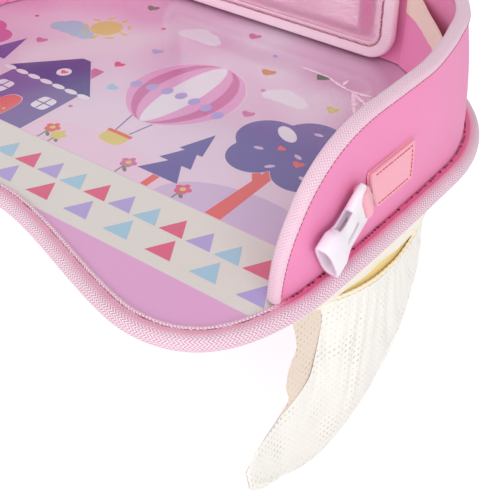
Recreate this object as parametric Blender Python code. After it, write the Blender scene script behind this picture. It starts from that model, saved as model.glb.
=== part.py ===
"""A child's car seat tray table, sewn from fabric over stiff boards.

Units are metres and +Z is up. The origin is the middle of the tray's underside.
The child sits at -Y, where the front edge is cut out for the belly. A soft wall
runs round the sides and the rear, with a phone holder in the middle of the rear
and a pocket in each rear corner. A webbing tab with a side-release buckle is sewn
to each side, and a mesh pocket hangs under each side.

Places on the tray's edge are given by their distance along the edge from the
middle of the front, and by an inset, which is the distance inwards from the edge.
"""
import math

import bmesh
import bpy
import numpy as np
from mathutils import Matrix, Vector

# Clearance between pieces that touch
GAP = 0.0003

# Plan of the tray
TRAY_WIDTH = 0.400
TRAY_DEPTH = 0.320
CORNER_RADIUS = 0.1116
BELLY_DEPTH = 0.033
LOBE_REACH = 0.1332
SHOULDER_RUN = 0.0624
SHOULDER_INSET = 0.0051
BELLY_HANDLE_SHARE = 0.264
LOBE_IN_HANDLE_SHARE = 0.236
LOBE_OUT_HANDLE_SHARE = 0.559
SHOULDER_HANDLE_SHARE = 0.689
SIDE_START_HANDLE_SHARE = 0.137
SIDE_END_HANDLE_SHARE = 0.205
SIDE_SPLAY_SHARE = 0.2

# How far a straight facet may stray from the edge's curve, and its greatest length
CHORD_ERROR = 0.00014
LONGEST_CHORD = 0.030
CURVE_STEPS = 400
STATION_STEPS = 1200
FOLD_STEPS = 5
SMOOTH_ANGLE = math.radians(35)

# Layers of the tray, from the bottom up
COVER_THICKNESS = 0.0008
BOARD_THICKNESS = 0.004
PRINT_THICKNESS = 0.0008
FILM_THICKNESS = 0.0004
BOARD_BOTTOM = COVER_THICKNESS + GAP
PRINT_BOTTOM = BOARD_BOTTOM + BOARD_THICKNESS + GAP
FILM_BOTTOM = PRINT_BOTTOM + PRINT_THICKNESS + GAP
FACE = FILM_BOTTOM + FILM_THICKNESS
# The outer layers are full inside this share of the plan, and pressed flatter outside it
FIELD_SHARE = 0.78
LEDGE_SHARE = 0.785
COVER_PRESS = 0.0002
FILM_PRESS = 0.0001

# Tape that is folded over the tray's edge
TAPE_THICKNESS = 0.0009
EDGE_LEG = 0.0102
EDGE_ROLL = 0.0035
LAYER_INSET = 0.0027

# Wall: two fabric skins over a foam core
WALL_INSET = 0.0106
WALL_HEIGHT = 0.079
SKIN_THICKNESS = 0.0008
CORE_THICKNESS = 0.003
WALL_FRONT_Y = -0.111
WALL_RISE_RUN = 0.084
WALL_RISE_POWER = 2.4
WALL_RISE_STEPS = 16
WALL_BULGE = 0.002
CORNER_LEAN = 0.008
LEAN_START = -0.038
LEAN_FULL = 0.025
LEAN_FADE = -0.070
LEAN_END = -0.018
WALL_LEG = 0.007
CORE_INSET = WALL_INSET + SKIN_THICKNESS + GAP
INNER_SKIN_INSET = CORE_INSET + CORE_THICKNESS + GAP
INNER_FACE_INSET = INNER_SKIN_INSET + SKIN_THICKNESS
WALL_FOOT = FACE + GAP
WALL_TOP = FACE + WALL_HEIGHT
WALL_WAIST = (WALL_FOOT + WALL_TOP) / 2

# Side-release buckle, from the axis of its webbing bar to its mouth
WEBBING_WIDTH = 0.025
WEBBING_THICKNESS = 0.0012
BUCKLE_LENGTH = 0.036
BUCKLE_TAIL = 0.0032
BUCKLE_BAR_RADIUS = 0.0021
BUCKLE_BAR_WIDTH = 0.032
BUCKLE_WAIST_WIDTH = 0.0252
BUCKLE_MOUTH_WIDTH = 0.036
BUCKLE_BAR_THICKNESS = 0.0062
BUCKLE_MOUTH_THICKNESS = 0.0104
BUCKLE_WALL = 0.0016
BUCKLE_CORNER_POWER = 3.2
BUCKLE_SIDES = 20
BAR_SIDES = 14
WEBBING_SLOT_LENGTH = 0.0048
WEBBING_SLOT_PLAY = 0.0006
BUCKLE_SOCKET_DEPTH = 0.027
SOCKET_NARROW_SHARE = 0.6
BUCKLE_WINDOW_LENGTH = 0.012
BUCKLE_WINDOW_WIDTH = 0.0052
BUCKLE_WINDOW_START = 0.0105
SIDE_SLOT_START = 0.0115
SIDE_SLOT_LENGTH = 0.0115
SIDE_SLOT_HEIGHT = 0.0042
CUT_OVERRUN = 0.004
# Share of the length, then of the width (-1 bar, 0 waist, 1 mouth) and of the thickness
BUCKLE_PROFILE_SHARES = ((0.0, -0.53, -0.30), (0.04, -0.87, 0.0), (0.22, -1.0, 0.0),
                         (0.34, -0.5, 0.25), (0.50, 0.0, 0.5), (0.60, 0.07, 0.5),
                         (0.70, 0.5, 0.75), (0.78, 0.93, 1.0), (0.97, 1.0, 1.0),
                         (1.0, 0.93, 0.86))

# Place of the right buckle's bar and how the buckle hangs from it
BAR_Y = -0.053
BAR_HEIGHT = 0.0430
BAR_STANDOFF = 0.0058
BUCKLE_PITCH = math.radians(31.5)
BUCKLE_TWIST = math.radians(7.0)

# Webbing tab that carries the buckle
TAB_REAR_TOP_Y = -0.002
TAB_REAR_LOW_Y = 0.0005
TAB_FRONT_TOP_Y = -0.044
TAB_FRONT_LOW_Y = -0.034
TAB_MIDDLE_HEIGHT = 0.0398
TAB_NECK_LENGTH = 0.005
TAB_ROWS = 5
TAB_RIDGE_LOW_SHARE = 0.1
TAB_RIDGE_HIGH_SHARE = 0.9
LOOP_STEPS = 9
LOOP_OVERLAP = math.radians(27)

# Mesh pocket under each side
HEM_HEIGHT = 0.005
HEM_THICKNESS = 0.0008
HEM_INSET = 0.0030
HEM_ROWS = 9
POCKET_BACK_INSET = 0.0096
POCKET_TOP_FRONT_Y = -0.104
POCKET_TOP_REAR_Y = 0.018
POCKET_CORNER_Y = -0.137
POCKET_CORNER_DROP = 0.088
POCKET_HEEL_Y = -0.075
POCKET_DROP = 0.129
POCKET_FRONT_BOW_SHARES = ((0.12, 0.45), (0.25, 0.62))
POCKET_REAR_BOW_SHARES = ((-0.13, 0.46), (0.17, 0.93))
POCKET_MOUTH_DEPTH = 0.0115
POCKET_BELLY_DEPTH = 0.017
POCKET_FOOT_DEPTH = 0.004
POCKET_CLOTH = 0.0010
POCKET_FLOOR = 0.0020
POCKET_BELLY_SHARE = 0.45
POCKET_LIP_DROP = 0.0065
POCKET_LIP_FADE_POWER = 4
POCKET_LIP_BACK_SHARE = 0.4
POCKET_SIDES = 20
POCKET_ROWS = 7
POCKET_EDGE_STEPS = 100
ELASTIC_HEIGHT = 0.005
ELASTIC_THICKNESS = 0.0010

# Phone holder on the rear wall, a little wider than the rear edge's straight stretch
REAR_STRAIGHT = TRAY_WIDTH - 2 * CORNER_RADIUS
HOLDER_OVERHANG = 0.0146
HOLDER_WIDTH = REAR_STRAIGHT + 2 * HOLDER_OVERHANG
HOLDER_HEIGHT = 0.094
HOLDER_LIFT = 0.0023
HOLDER_CORNER_RADIUS = 0.020
HOLDER_FABRIC = 0.0008
HOLDER_CORE = 0.0015
HOLDER_LEG = 0.0118
HOLDER_ROLL = 0.0020
HOLDER_CORNER_STEPS = 6
WINDOW_THICKNESS = 0.0004
WINDOW_STANDOFF = 0.0075
WINDOW_SEAM = 0.008
WINDOW_RAMP = 0.010
WINDOW_TOP_SETBACK = 0.014
HOLDER_FOLD_STEPS = 4
HINGE_TAPE_MARGIN = 0.0034
HINGE_TAPE_WIDTH = REAR_STRAIGHT - 2 * HINGE_TAPE_MARGIN
HINGE_TAPE_HEIGHT = 0.0085
HINGE_TAPE_THICKNESS = 0.0024
HINGE_CLEARANCE = 0.0004

# Pocket in each rear corner
CORNER_POCKET_START_ANGLE = math.radians(2)
CORNER_POCKET_END_ANGLE = math.radians(79)
CORNER_POCKET_HEIGHT = 0.057
CORNER_POCKET_SAG = 0.004
CORNER_POCKET_STANDOFF = 0.009
CORNER_BAND_HEIGHT = 0.0185
CORNER_CLOTH = 0.0010
CORNER_BAND_THICKNESS = 0.0016
CORNER_POCKET_STEPS = 14


def clear_scene():
    for item in list(bpy.data.objects):
        bpy.data.objects.remove(item, do_unlink=True)


def make_material(name, colour, roughness, alpha=1.0):
    material = bpy.data.materials.new(name)
    material.use_nodes = True
    shader = material.node_tree.nodes["Principled BSDF"]
    shader.inputs["Base Color"].default_value = (*colour, 1.0)
    shader.inputs["Roughness"].default_value = roughness
    shader.inputs["Metallic"].default_value = 0.0
    shader.inputs["Alpha"].default_value = alpha
    return material


def fill_mesh(name, rings, loop):
    """Skin a row of rings with the same number of points, and cap its ends.

    Each quad is split from its lower point, so that layers of a twisted wall split alike.
    """
    work = bmesh.new()
    rows = [[work.verts.new(point) for point in ring] for ring in rings]
    pairs = list(zip(rows, rows[1:]))
    if loop:
        pairs.append((rows[-1], rows[0]))
    else:
        work.faces.new(rows[0])
        work.faces.new(rows[-1])
    for ring, following in pairs:
        for here, corner in enumerate(ring):
            after = (here + 1) % len(ring)
            quad = [corner, ring[after], following[after], following[here]]
            if ring[after].co.z < corner.co.z:
                quad = quad[1:] + quad[:1]
            work.faces.new(quad[:3])
            work.faces.new(quad[2:] + quad[:1])
    bmesh.ops.recalc_face_normals(work, faces=work.faces)
    if work.calc_volume(signed=True) < 0:
        bmesh.ops.reverse_faces(work, faces=work.faces)
    mesh = bpy.data.meshes.new(name)
    work.to_mesh(mesh)
    work.free()
    return mesh


def add_object(name, mesh, material, pivot=None):
    mesh.materials.clear()
    mesh.materials.append(material)
    mesh.shade_smooth()
    mesh.set_sharp_from_angle(angle=SMOOTH_ANGLE)
    item = bpy.data.objects.new(name, mesh)
    bpy.context.collection.objects.link(item)
    if pivot is not None:
        item.parent = pivot
    return item


def add_solid(name, rings, material, loop=False, pivot=None):
    """Make one node from rings in the tray's frame, hung on a pivot if it has one."""
    origin = pivot.location if pivot is not None else Vector()
    local = [[Vector(point) - origin for point in ring] for ring in rings]
    return add_object(name, fill_mesh(name, local, loop), material, pivot)


def add_pivot(name, matrix):
    pivot = bpy.data.objects.new(name, None)
    bpy.context.collection.objects.link(pivot)
    pivot.matrix_world = matrix
    return pivot


def mirrored(rings, side):
    """The same rings on the right (side 1) or on the left (side -1)."""
    return [[(side * point[0], point[1], point[2]) for point in ring] for ring in rings]


def bezier(start, start_handle, end_handle, end, count=CURVE_STEPS):
    """Points along a curve, without its end."""
    t = np.linspace(0.0, 1.0, count, endpoint=False)[:, None]
    points = np.array([start, start_handle, end_handle, end])
    weights = ((1 - t) ** 3, 3 * t * (1 - t) ** 2, 3 * t ** 2 * (1 - t), t ** 3)
    return sum(weight * point for weight, point in zip(weights, points))


def half_edge():
    """Right half of the tray's edge, from the middle of the front to the rear."""
    half_width = TRAY_WIDTH / 2
    half_depth = TRAY_DEPTH / 2
    shoulder_x = half_width - SHOULDER_INSET
    shoulder_y = SHOULDER_RUN - half_depth
    side_end_y = half_depth - CORNER_RADIUS
    belly_y = BELLY_DEPTH - half_depth
    belly_handle = LOBE_REACH * BELLY_HANDLE_SHARE
    lobe_in = LOBE_REACH * LOBE_IN_HANDLE_SHARE
    lobe_out = (shoulder_x - LOBE_REACH) * LOBE_OUT_HANDLE_SHARE
    shoulder_in = SHOULDER_RUN * SHOULDER_HANDLE_SHARE
    side = side_end_y - shoulder_y
    side_start = side * SIDE_START_HANDLE_SHARE
    side_stop = side * SIDE_END_HANDLE_SHARE
    belly = bezier((0, belly_y), (belly_handle, belly_y),
                   (LOBE_REACH - lobe_in, -half_depth), (LOBE_REACH, -half_depth))
    lobe = bezier((LOBE_REACH, -half_depth), (LOBE_REACH + lobe_out, -half_depth),
                  (shoulder_x - shoulder_in * SIDE_SPLAY_SHARE, shoulder_y - shoulder_in),
                  (shoulder_x, shoulder_y))
    flank = bezier((shoulder_x, shoulder_y),
                   (shoulder_x + side_start * SIDE_SPLAY_SHARE, shoulder_y + side_start),
                   (half_width, side_end_y - side_stop), (half_width, side_end_y))
    turn = np.linspace(0.0, math.pi / 2, CURVE_STEPS)[:, None]
    centre = np.array((half_width - CORNER_RADIUS, side_end_y))
    corner = centre + CORNER_RADIUS * np.hstack((np.cos(turn), np.sin(turn)))
    return np.vstack((belly, lobe, flank, corner, [(0, half_depth)]))


EDGE = half_edge()
EDGE_LENGTHS = np.concatenate(([0], np.cumsum(np.linalg.norm(np.diff(EDGE, axis=0), axis=1))))
HALF_LENGTH = EDGE_LENGTHS[-1]
CORNER_END = HALF_LENGTH - (TRAY_WIDTH / 2 - CORNER_RADIUS)
CORNER_START = CORNER_END - CORNER_RADIUS * math.pi / 2


def edge_direction(length):
    """Unit direction of travel along the right half of the edge."""
    reach = HALF_LENGTH / STATION_STEPS / 2
    ends = np.clip((length - reach, length + reach), 0, HALF_LENGTH)
    run = [np.diff(np.interp(ends, EDGE_LENGTHS, EDGE[:, axis]))[0] for axis in (0, 1)]
    return np.array(run) / np.linalg.norm(run)


def edge_point(length, inset):
    """Plan position at a distance along the whole edge, right side first."""
    side = 1.0
    if length > HALF_LENGTH:
        side = -1.0
        length = 2 * HALF_LENGTH - length
    place = [np.interp(length, EDGE_LENGTHS, EDGE[:, axis]) for axis in (0, 1)]
    along = edge_direction(length)
    return side * (place[0] - inset * along[1]), place[1] + inset * along[0]


def length_at_y(y):
    """Distance along the right half where the flank passes the given Y."""
    half_turn = int(np.argmin(EDGE[:, 1]))
    return float(np.interp(y, EDGE[half_turn:, 1], EDGE_LENGTHS[half_turn:]))


def half_stations():
    """Distances along the right half, as far apart as the edge's curve allows."""
    fine = np.linspace(0, HALF_LENGTH, STATION_STEPS)
    headings = np.unwrap([math.atan2(*edge_direction(length)[::-1]) for length in fine])
    stations = [0]
    for here in range(len(fine)):
        run = fine[here] - fine[stations[-1]]
        turn = np.abs(np.diff(headings[stations[-1]:here + 1])).sum()
        if run * turn / 8 > CHORD_ERROR or run > LONGEST_CHORD:
            stations.append(here)
    if HALF_LENGTH - fine[stations[-1]] < LONGEST_CHORD / 2:
        stations.pop()
    return fine[stations]


RIGHT_STATIONS = half_stations()
EDGE_STATIONS = np.concatenate((RIGHT_STATIONS, [HALF_LENGTH],
                                2 * HALF_LENGTH - RIGHT_STATIONS[:0:-1]))


def add_plate(name, bottom, thickness, material, press=0.0, pressed_face=0.0):
    """A flat layer of the tray that follows its plan.

    A pressed layer is thinner outside its field, by a ledge in the face at the given height.
    """
    plan = [edge_point(length, LAYER_INSET) for length in EDGE_STATIONS]
    levels = [(plan, bottom), (plan, bottom + thickness)]
    if press:
        inside = pressed_face + press if pressed_face == bottom else pressed_face - press
        outline = np.array([edge_point(length, 0) for length in EDGE_STATIONS])
        ledge = [(outline * LEDGE_SHARE, inside), (outline * FIELD_SHARE, pressed_face)]
        if pressed_face == bottom:
            levels = ledge[::-1] + [(plan, inside), levels[1]]
        else:
            levels = [levels[0], (plan, inside)] + ledge
    rings = [[(x, y, height) for x, y in points] for points, height in levels]
    return add_solid(name, rings, material)


def add_layers(materials):
    add_plate("bottom_cover", 0, COVER_THICKNESS, materials["cover"], COVER_PRESS, 0)
    add_plate("base_board", BOARD_BOTTOM, BOARD_THICKNESS, materials["board"])
    add_plate("top_print", PRINT_BOTTOM, PRINT_THICKNESS, materials["print"])
    add_plate("clear_film", FILM_BOTTOM, FILM_THICKNESS, materials["film"], FILM_PRESS, FACE)


def folded_tape(leg, roll, seat, low, high, steps=FOLD_STEPS):
    """Section of tape folded over an edge, as (inset, height) pairs."""
    middle = (low + high) / 2
    half = (high - low) / 2
    turns = np.linspace(math.pi / 2, -math.pi / 2, steps)
    fold = [(roll * (1 - math.cos(turn)), middle + half * math.sin(turn)) for turn in turns]
    inside = [(leg, low), (leg, low + TAPE_THICKNESS), (seat, low + TAPE_THICKNESS),
              (seat, high - TAPE_THICKNESS), (leg, high - TAPE_THICKNESS), (leg, high)]
    return fold + inside


def add_edge_binding(material):
    """Ribbed tape folded over the tray's edge all the way round."""
    section = folded_tape(EDGE_LEG, EDGE_ROLL, LAYER_INSET - GAP,
                          -GAP - TAPE_THICKNESS, FACE + GAP + TAPE_THICKNESS)
    rings = [[(*edge_point(length, inset), height) for inset, height in section]
             for length in EDGE_STATIONS]
    add_solid("edge_binding", rings, material, loop=True)


WALL_START = length_at_y(WALL_FRONT_Y)


def wall_lean(length):
    """How far the top of the wall leans inwards: only round the rear corners."""
    length = min(length, 2 * HALF_LENGTH - length)
    rise = (length - CORNER_START - LEAN_START) / (LEAN_FULL - LEAN_START)
    fall = (CORNER_END + LEAN_END - length) / (LEAN_END - LEAN_FADE)
    share = min(max(min(rise, fall), 0.0), 1.0)
    return CORNER_LEAN * share * share * (3 - 2 * share)


def wall_point(length, height, inset):
    """A point in the wall, which bulges at half height and leans in at the corners."""
    share = (height - WALL_FOOT) / (WALL_TOP - WALL_FOOT)
    bulge = WALL_BULGE * (1 - abs(2 * share - 1))
    return (*edge_point(length, inset + wall_lean(length) * share - bulge), height)


def wall_profile(shrink):
    """Places along the wall's top line as (length, height), held back by shrink."""
    turns = np.linspace(0, math.pi / 2, WALL_RISE_STEPS)[:-1]
    power = 2 / WALL_RISE_POWER
    run = WALL_RISE_RUN - shrink
    rise = WALL_TOP - WALL_FOOT - shrink
    front = [(WALL_START + WALL_RISE_RUN - run * math.cos(turn) ** power,
              WALL_FOOT + rise * math.sin(turn) ** power) for turn in turns]
    flat_start = WALL_START + WALL_RISE_RUN
    flat = [(length, WALL_FOOT + rise) for length in RIGHT_STATIONS if length > flat_start]
    right = front + [(flat_start, WALL_FOOT + rise)] + flat
    left = [(2 * HALF_LENGTH - length, height) for length, height in right[::-1]]
    return right + [(HALF_LENGTH, WALL_FOOT + rise)] + left


def add_wall_layer(name, inset, thickness, material):
    """One layer of the wall, from its foot to just under the top tape."""
    rings = []
    for length, height in wall_profile(GAP + TAPE_THICKNESS)[1:-1]:
        past_ridge = height > WALL_WAIST + WALL_BULGE
        middle = WALL_WAIST if past_ridge else (WALL_FOOT + height) / 2
        outside = [wall_point(length, level, inset) for level in (WALL_FOOT, middle, height)]
        inside = [wall_point(length, level, inset + thickness)
                  for level in (height, middle, WALL_FOOT)]
        rings.append(outside + inside)
    add_solid(name, rings, material)


def add_top_binding(material):
    """Tape folded over the wall's top line and down both front ends."""
    outside = WALL_INSET - GAP - TAPE_THICKNESS
    inside = INNER_FACE_INSET + GAP + TAPE_THICKNESS
    section = folded_tape(WALL_LEG, TAPE_THICKNESS, TAPE_THICKNESS, outside, inside)
    path = np.array(wall_profile(0))
    path[[0, -1], 1] = FACE + GAP + TAPE_THICKNESS + GAP
    travel = np.gradient(path, axis=0)
    travel /= np.linalg.norm(travel, axis=1)[:, None]
    travel[0], travel[-1] = (0, 1), (0, -1)
    rings = []
    for (length, height), (along, up) in zip(path, travel):
        rings.append([wall_point(length + depth * up, height - depth * along, inset)
                      for depth, inset in section])
    add_solid("wall_top_binding", rings, material)


def add_wall(materials):
    add_wall_layer("wall_outer_skin", WALL_INSET, SKIN_THICKNESS, materials["skin"])
    add_wall_layer("wall_core", CORE_INSET, CORE_THICKNESS, materials["foam"])
    add_wall_layer("wall_inner_skin", INNER_SKIN_INSET, SKIN_THICKNESS, materials["skin"])
    add_top_binding(materials["tape"])


def buckle_matrix(side):
    """Frame of a buckle: X to its mouth, Y along its bar, Z out of its face."""
    length = length_at_y(BAR_Y)
    place = Vector(wall_point(length, BAR_HEIGHT, WALL_INSET - BAR_STANDOFF))
    forward = Vector((0, -math.cos(BUCKLE_PITCH), -math.sin(BUCKLE_PITCH)))
    outward = Vector((1, 0, 0))
    across = outward.cross(forward)
    turned_across = across * math.cos(BUCKLE_TWIST) - outward * math.sin(BUCKLE_TWIST)
    turned_out = outward * math.cos(BUCKLE_TWIST) + across * math.sin(BUCKLE_TWIST)
    axes = [forward, turned_across, turned_out]
    flip = Vector((side, 1, 1))
    axes = [axis * flip for axis in axes]
    axes[1] = axes[2].cross(axes[0])
    matrix = Matrix((axes[0], axes[1], axes[2])).transposed().to_4x4()
    matrix.translation = place * flip
    return matrix


def rounded_section(along, half_width, half_thickness):
    """A rounded rectangle across the buckle, as a superellipse."""
    power = 2 / BUCKLE_CORNER_POWER
    ring = []
    for step in range(BUCKLE_SIDES):
        turn = 2 * math.pi * step / BUCKLE_SIDES
        across = math.copysign(abs(math.cos(turn)) ** power, math.cos(turn))
        out = math.copysign(abs(math.sin(turn)) ** power, math.sin(turn))
        ring.append((along, half_width * across, half_thickness * out))
    return ring


def buckle_shell():
    """Outside of the housing: wide at the bar, waisted, wide again at the mouth."""
    widths = (BUCKLE_BAR_WIDTH / 2, BUCKLE_WAIST_WIDTH / 2, BUCKLE_MOUTH_WIDTH / 2)
    thin, thick = BUCKLE_BAR_THICKNESS / 2, BUCKLE_MOUTH_THICKNESS / 2
    whole = BUCKLE_LENGTH + BUCKLE_TAIL
    rings = []
    for along, width_share, thickness_share in BUCKLE_PROFILE_SHARES:
        half_width = np.interp(width_share, (-1, 0, 1), widths)
        half_thickness = thin + (thick - thin) * thickness_share
        rings.append(rounded_section(whole * along - BUCKLE_TAIL, half_width, half_thickness))
    return rings


def buckle_socket():
    """Inside of the housing, open at the mouth."""
    start = BUCKLE_LENGTH - BUCKLE_SOCKET_DEPTH
    waist_width = BUCKLE_WAIST_WIDTH / 2 - BUCKLE_WALL
    mouth_width = BUCKLE_MOUTH_WIDTH / 2 - 2 * BUCKLE_WALL
    waist_height = (BUCKLE_BAR_THICKNESS + BUCKLE_MOUTH_THICKNESS) / 4 - BUCKLE_WALL
    mouth_height = BUCKLE_MOUTH_THICKNESS / 2 - BUCKLE_WALL
    shoulder = start + BUCKLE_SOCKET_DEPTH * SOCKET_NARROW_SHARE
    return [rounded_section(start, waist_width, waist_height),
            rounded_section(shoulder, waist_width, waist_height),
            rounded_section(BUCKLE_LENGTH - BUCKLE_WALL, mouth_width, mouth_height),
            rounded_section(BUCKLE_LENGTH + CUT_OVERRUN, mouth_width, mouth_height)]


def box_rings(low, high):
    return [[(x, low[1], low[2]), (x, high[1], low[2]), (x, high[1], high[2]),
             (x, low[1], high[2])] for x in (low[0], high[0])]


def bar_rings(half_width, radius):
    """The round webbing bar."""
    turns = [2 * math.pi * step / BAR_SIDES for step in range(BAR_SIDES)]
    return [[(radius * math.cos(turn), across, radius * math.sin(turn)) for turn in turns]
            for across in (-half_width, half_width)]


def buckle_mesh(material):
    """The housing with its socket, windows, side slots, webbing slot and bar."""
    slot_half = WEBBING_WIDTH / 2 + WEBBING_SLOT_PLAY
    tall = BUCKLE_MOUTH_THICKNESS
    wide = BUCKLE_MOUTH_WIDTH
    window_end = BUCKLE_WINDOW_START + BUCKLE_WINDOW_LENGTH
    slot_end = SIDE_SLOT_START + SIDE_SLOT_LENGTH
    window_half = BUCKLE_WINDOW_WIDTH / 2
    slot_height = SIDE_SLOT_HEIGHT / 2
    cuts = [("socket", buckle_socket()),
            ("window", box_rings((BUCKLE_WINDOW_START, -window_half, -tall),
                                 (window_end, window_half, tall))),
            ("side_slots", box_rings((SIDE_SLOT_START, -wide, -slot_height),
                                     (slot_end, wide, slot_height))),
            ("webbing_slot", box_rings((-BUCKLE_TAIL - CUT_OVERRUN, -slot_half, -tall),
                                       (WEBBING_SLOT_LENGTH, slot_half, tall)))]
    housing = add_object("housing", fill_mesh("housing", buckle_shell(), False), material)
    tools = []
    for name, rings in cuts:
        tools.append((add_object(name, fill_mesh(name, rings, False), material), "DIFFERENCE"))
    bar = bar_rings(slot_half + BUCKLE_WALL / 2, BUCKLE_BAR_RADIUS)
    tools.append((add_object("bar", fill_mesh("bar", bar, False), material), "UNION"))
    for tool, operation in tools:
        modifier = housing.modifiers.new(tool.name, "BOOLEAN")
        modifier.object = tool
        modifier.operation = operation
    graph = bpy.context.evaluated_depsgraph_get()
    mesh = bpy.data.meshes.new_from_object(housing.evaluated_get(graph))
    for item in [housing] + [tool for tool, _ in tools]:
        bpy.data.objects.remove(item, do_unlink=True)
    mesh.name = "buckle"
    return mesh


def tab_rails():
    """Lines along the webbing, as (offset across, rear Y, front Y, height)."""
    low = TAB_MIDDLE_HEIGHT - WEBBING_WIDTH / 2
    ridge = min(max((WALL_WAIST - low) / WEBBING_WIDTH, TAB_RIDGE_LOW_SHARE), TAB_RIDGE_HIGH_SHARE)
    rails = []
    for share in (0, ridge, 1):
        rear = TAB_REAR_LOW_Y + (TAB_REAR_TOP_Y - TAB_REAR_LOW_Y) * share
        front = TAB_FRONT_LOW_Y + (TAB_FRONT_TOP_Y - TAB_FRONT_LOW_Y) * share
        rails.append((WEBBING_WIDTH * (share - 1 / 2), rear, front, low + WEBBING_WIDTH * share))
    return rails


def tab_ring(rails, place):
    """A ring round the webbing: its outer face, then its inner face the other way."""
    half = WEBBING_THICKNESS / 2
    outer = [place(rail, half) for rail in rails]
    inner = [place(rail, -half) for rail in rails]
    return outer + inner[::-1]


def tab_rings(matrix):
    """The webbing tab: sewn flat to the wall, round the bar and back under itself."""
    rails = tab_rails()
    under = GAP + WEBBING_THICKNESS / 2
    over = under + WEBBING_THICKNESS + GAP
    apart = (GAP + WEBBING_THICKNESS) / 2
    reach = BUCKLE_BAR_RADIUS + GAP + WEBBING_THICKNESS / 2

    def on_wall(share, level, sign):
        def place(rail, out):
            _, rear, front, height = rail
            length = length_at_y(rear + (front - rear) * share)
            return wall_point(length, height, WALL_INSET - level - sign * out)
        return tab_ring(rails, place)

    def behind_bar(level, sign):
        def place(rail, out):
            return matrix @ Vector((-TAB_NECK_LENGTH, rail[0], level + sign * out))
        return tab_ring(rails, place)

    def round_bar(turn):
        def place(rail, out):
            return matrix @ Vector(((reach + out) * math.cos(turn), rail[0],
                                    (reach + out) * math.sin(turn)))
        return tab_ring(rails, place)

    shares = np.linspace(0, 1, TAB_ROWS)
    sweep = math.pi / 2 + LOOP_OVERLAP
    rings = [on_wall(share, over, 1) for share in shares]
    rings.append(behind_bar(apart, 1))
    rings += [round_bar(turn) for turn in np.linspace(sweep, -sweep, LOOP_STEPS)]
    rings.append(behind_bar(-apart, -1))
    rings += [on_wall(share, under, -1) for share in shares[::-1]]
    return rings


def add_buckles(materials):
    mesh = buckle_mesh(materials["buckle"])
    rings = tab_rings(buckle_matrix(1))
    for name, side in (("right", 1), ("left", -1)):
        pivot = add_pivot(f"{name}_buckle_pivot", buckle_matrix(side))
        add_object(f"{name}_buckle", mesh.copy(), materials["buckle"], pivot)
        add_solid(f"{name}_strap_tab", mirrored(rings, side), materials["webbing"])


def pocket_edge(top_y, foot_y, foot_drop, bow_shares, share):
    """A point on the front or rear edge of a mesh pocket, as (Y, Z)."""
    top_z = -GAP - TAPE_THICKNESS - GAP
    run = foot_y - top_y
    handles = [(top_y + run * along, top_z + (-foot_drop - top_z) * down)
               for along, down in bow_shares]
    ends = (top_y, top_z), (foot_y, -foot_drop)
    points = np.vstack((bezier(ends[0], *handles, ends[1], POCKET_EDGE_STEPS), ends[1]))
    return points[round(share * POCKET_EDGE_STEPS)]


def pocket_ring(share, inwards):
    """One ring of the pocket at a share of the way down, set in by the cloth."""
    front = pocket_edge(POCKET_TOP_FRONT_Y, POCKET_CORNER_Y, POCKET_CORNER_DROP,
                        POCKET_FRONT_BOW_SHARES, share)
    rear = pocket_edge(POCKET_TOP_REAR_Y, POCKET_HEEL_Y, POCKET_DROP,
                       POCKET_REAR_BOW_SHARES, share)
    depth = np.interp(share, (0, POCKET_BELLY_SHARE, 1),
                      (POCKET_MOUTH_DEPTH, POCKET_BELLY_DEPTH, POCKET_FOOT_DEPTH))
    middle = (front + rear) / 2
    half = (rear - front) / 2
    half_length = np.linalg.norm(half)
    half = half * (half_length - inwards) / half_length
    fade = (1 - share) ** POCKET_LIP_FADE_POWER
    ring = []
    for step in range(POCKET_SIDES):
        turn = 2 * math.pi * step / POCKET_SIDES
        y, z = middle + half * math.sin(turn)
        out = depth / 2 + (depth / 2 - inwards) * math.cos(turn)
        front_share = (1 + math.cos(turn)) / 2
        drop = POCKET_LIP_DROP * min(front_share / POCKET_LIP_BACK_SHARE, 1) * fade
        ring.append((pocket_back_x(y) + out, y, z - drop))
    return ring


def pocket_back_x(y):
    """X of the pocket's back panel, which follows the tray's flank."""
    seam_y = min(max(y, POCKET_TOP_FRONT_Y), 0)
    return edge_point(length_at_y(seam_y), 0)[0] - POCKET_BACK_INSET


def pocket_rings():
    """The bag: up the outside from the foot to the lip, then down the inside."""
    shares = np.linspace(1, 0, POCKET_ROWS)
    outside = [pocket_ring(share, 0) for share in shares]
    lowest = 1 - POCKET_FLOOR / POCKET_DROP
    inside = [pocket_ring(min(share, lowest), POCKET_CLOTH) for share in shares[::-1]]
    return outside + inside


def elastic_rings():
    """Elastic round the outer half of the pocket's mouth."""
    row = 1 / (POCKET_ROWS - 1)
    share = ELASTIC_HEIGHT / (POCKET_DROP * row)
    sheets = []
    for inwards in (-GAP, -GAP - ELASTIC_THICKNESS):
        lip = np.array(pocket_ring(0, inwards))
        sheets.append((lip, lip + (np.array(pocket_ring(row, inwards)) - lip) * share))
    quarter = POCKET_SIDES // 4
    (near, near_low), (far, far_low) = sheets
    return [[near[step], far[step], far_low[step], near_low[step]]
            for step in range(-quarter, quarter + 1)]


def hem_rings():
    """Cloth strip that hangs from the edge tape in front of the pocket's mouth."""
    top = -GAP - TAPE_THICKNESS - GAP
    start = length_at_y(POCKET_TOP_FRONT_Y)
    stop = length_at_y(POCKET_TOP_REAR_Y)
    rings = []
    for length in np.linspace(start, stop, HEM_ROWS):
        outer = edge_point(length, HEM_INSET)
        inner = edge_point(length, HEM_INSET + HEM_THICKNESS)
        rings.append([(*outer, top), (*inner, top), (*inner, top - HEM_HEIGHT),
                      (*outer, top - HEM_HEIGHT)])
    return rings


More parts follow.
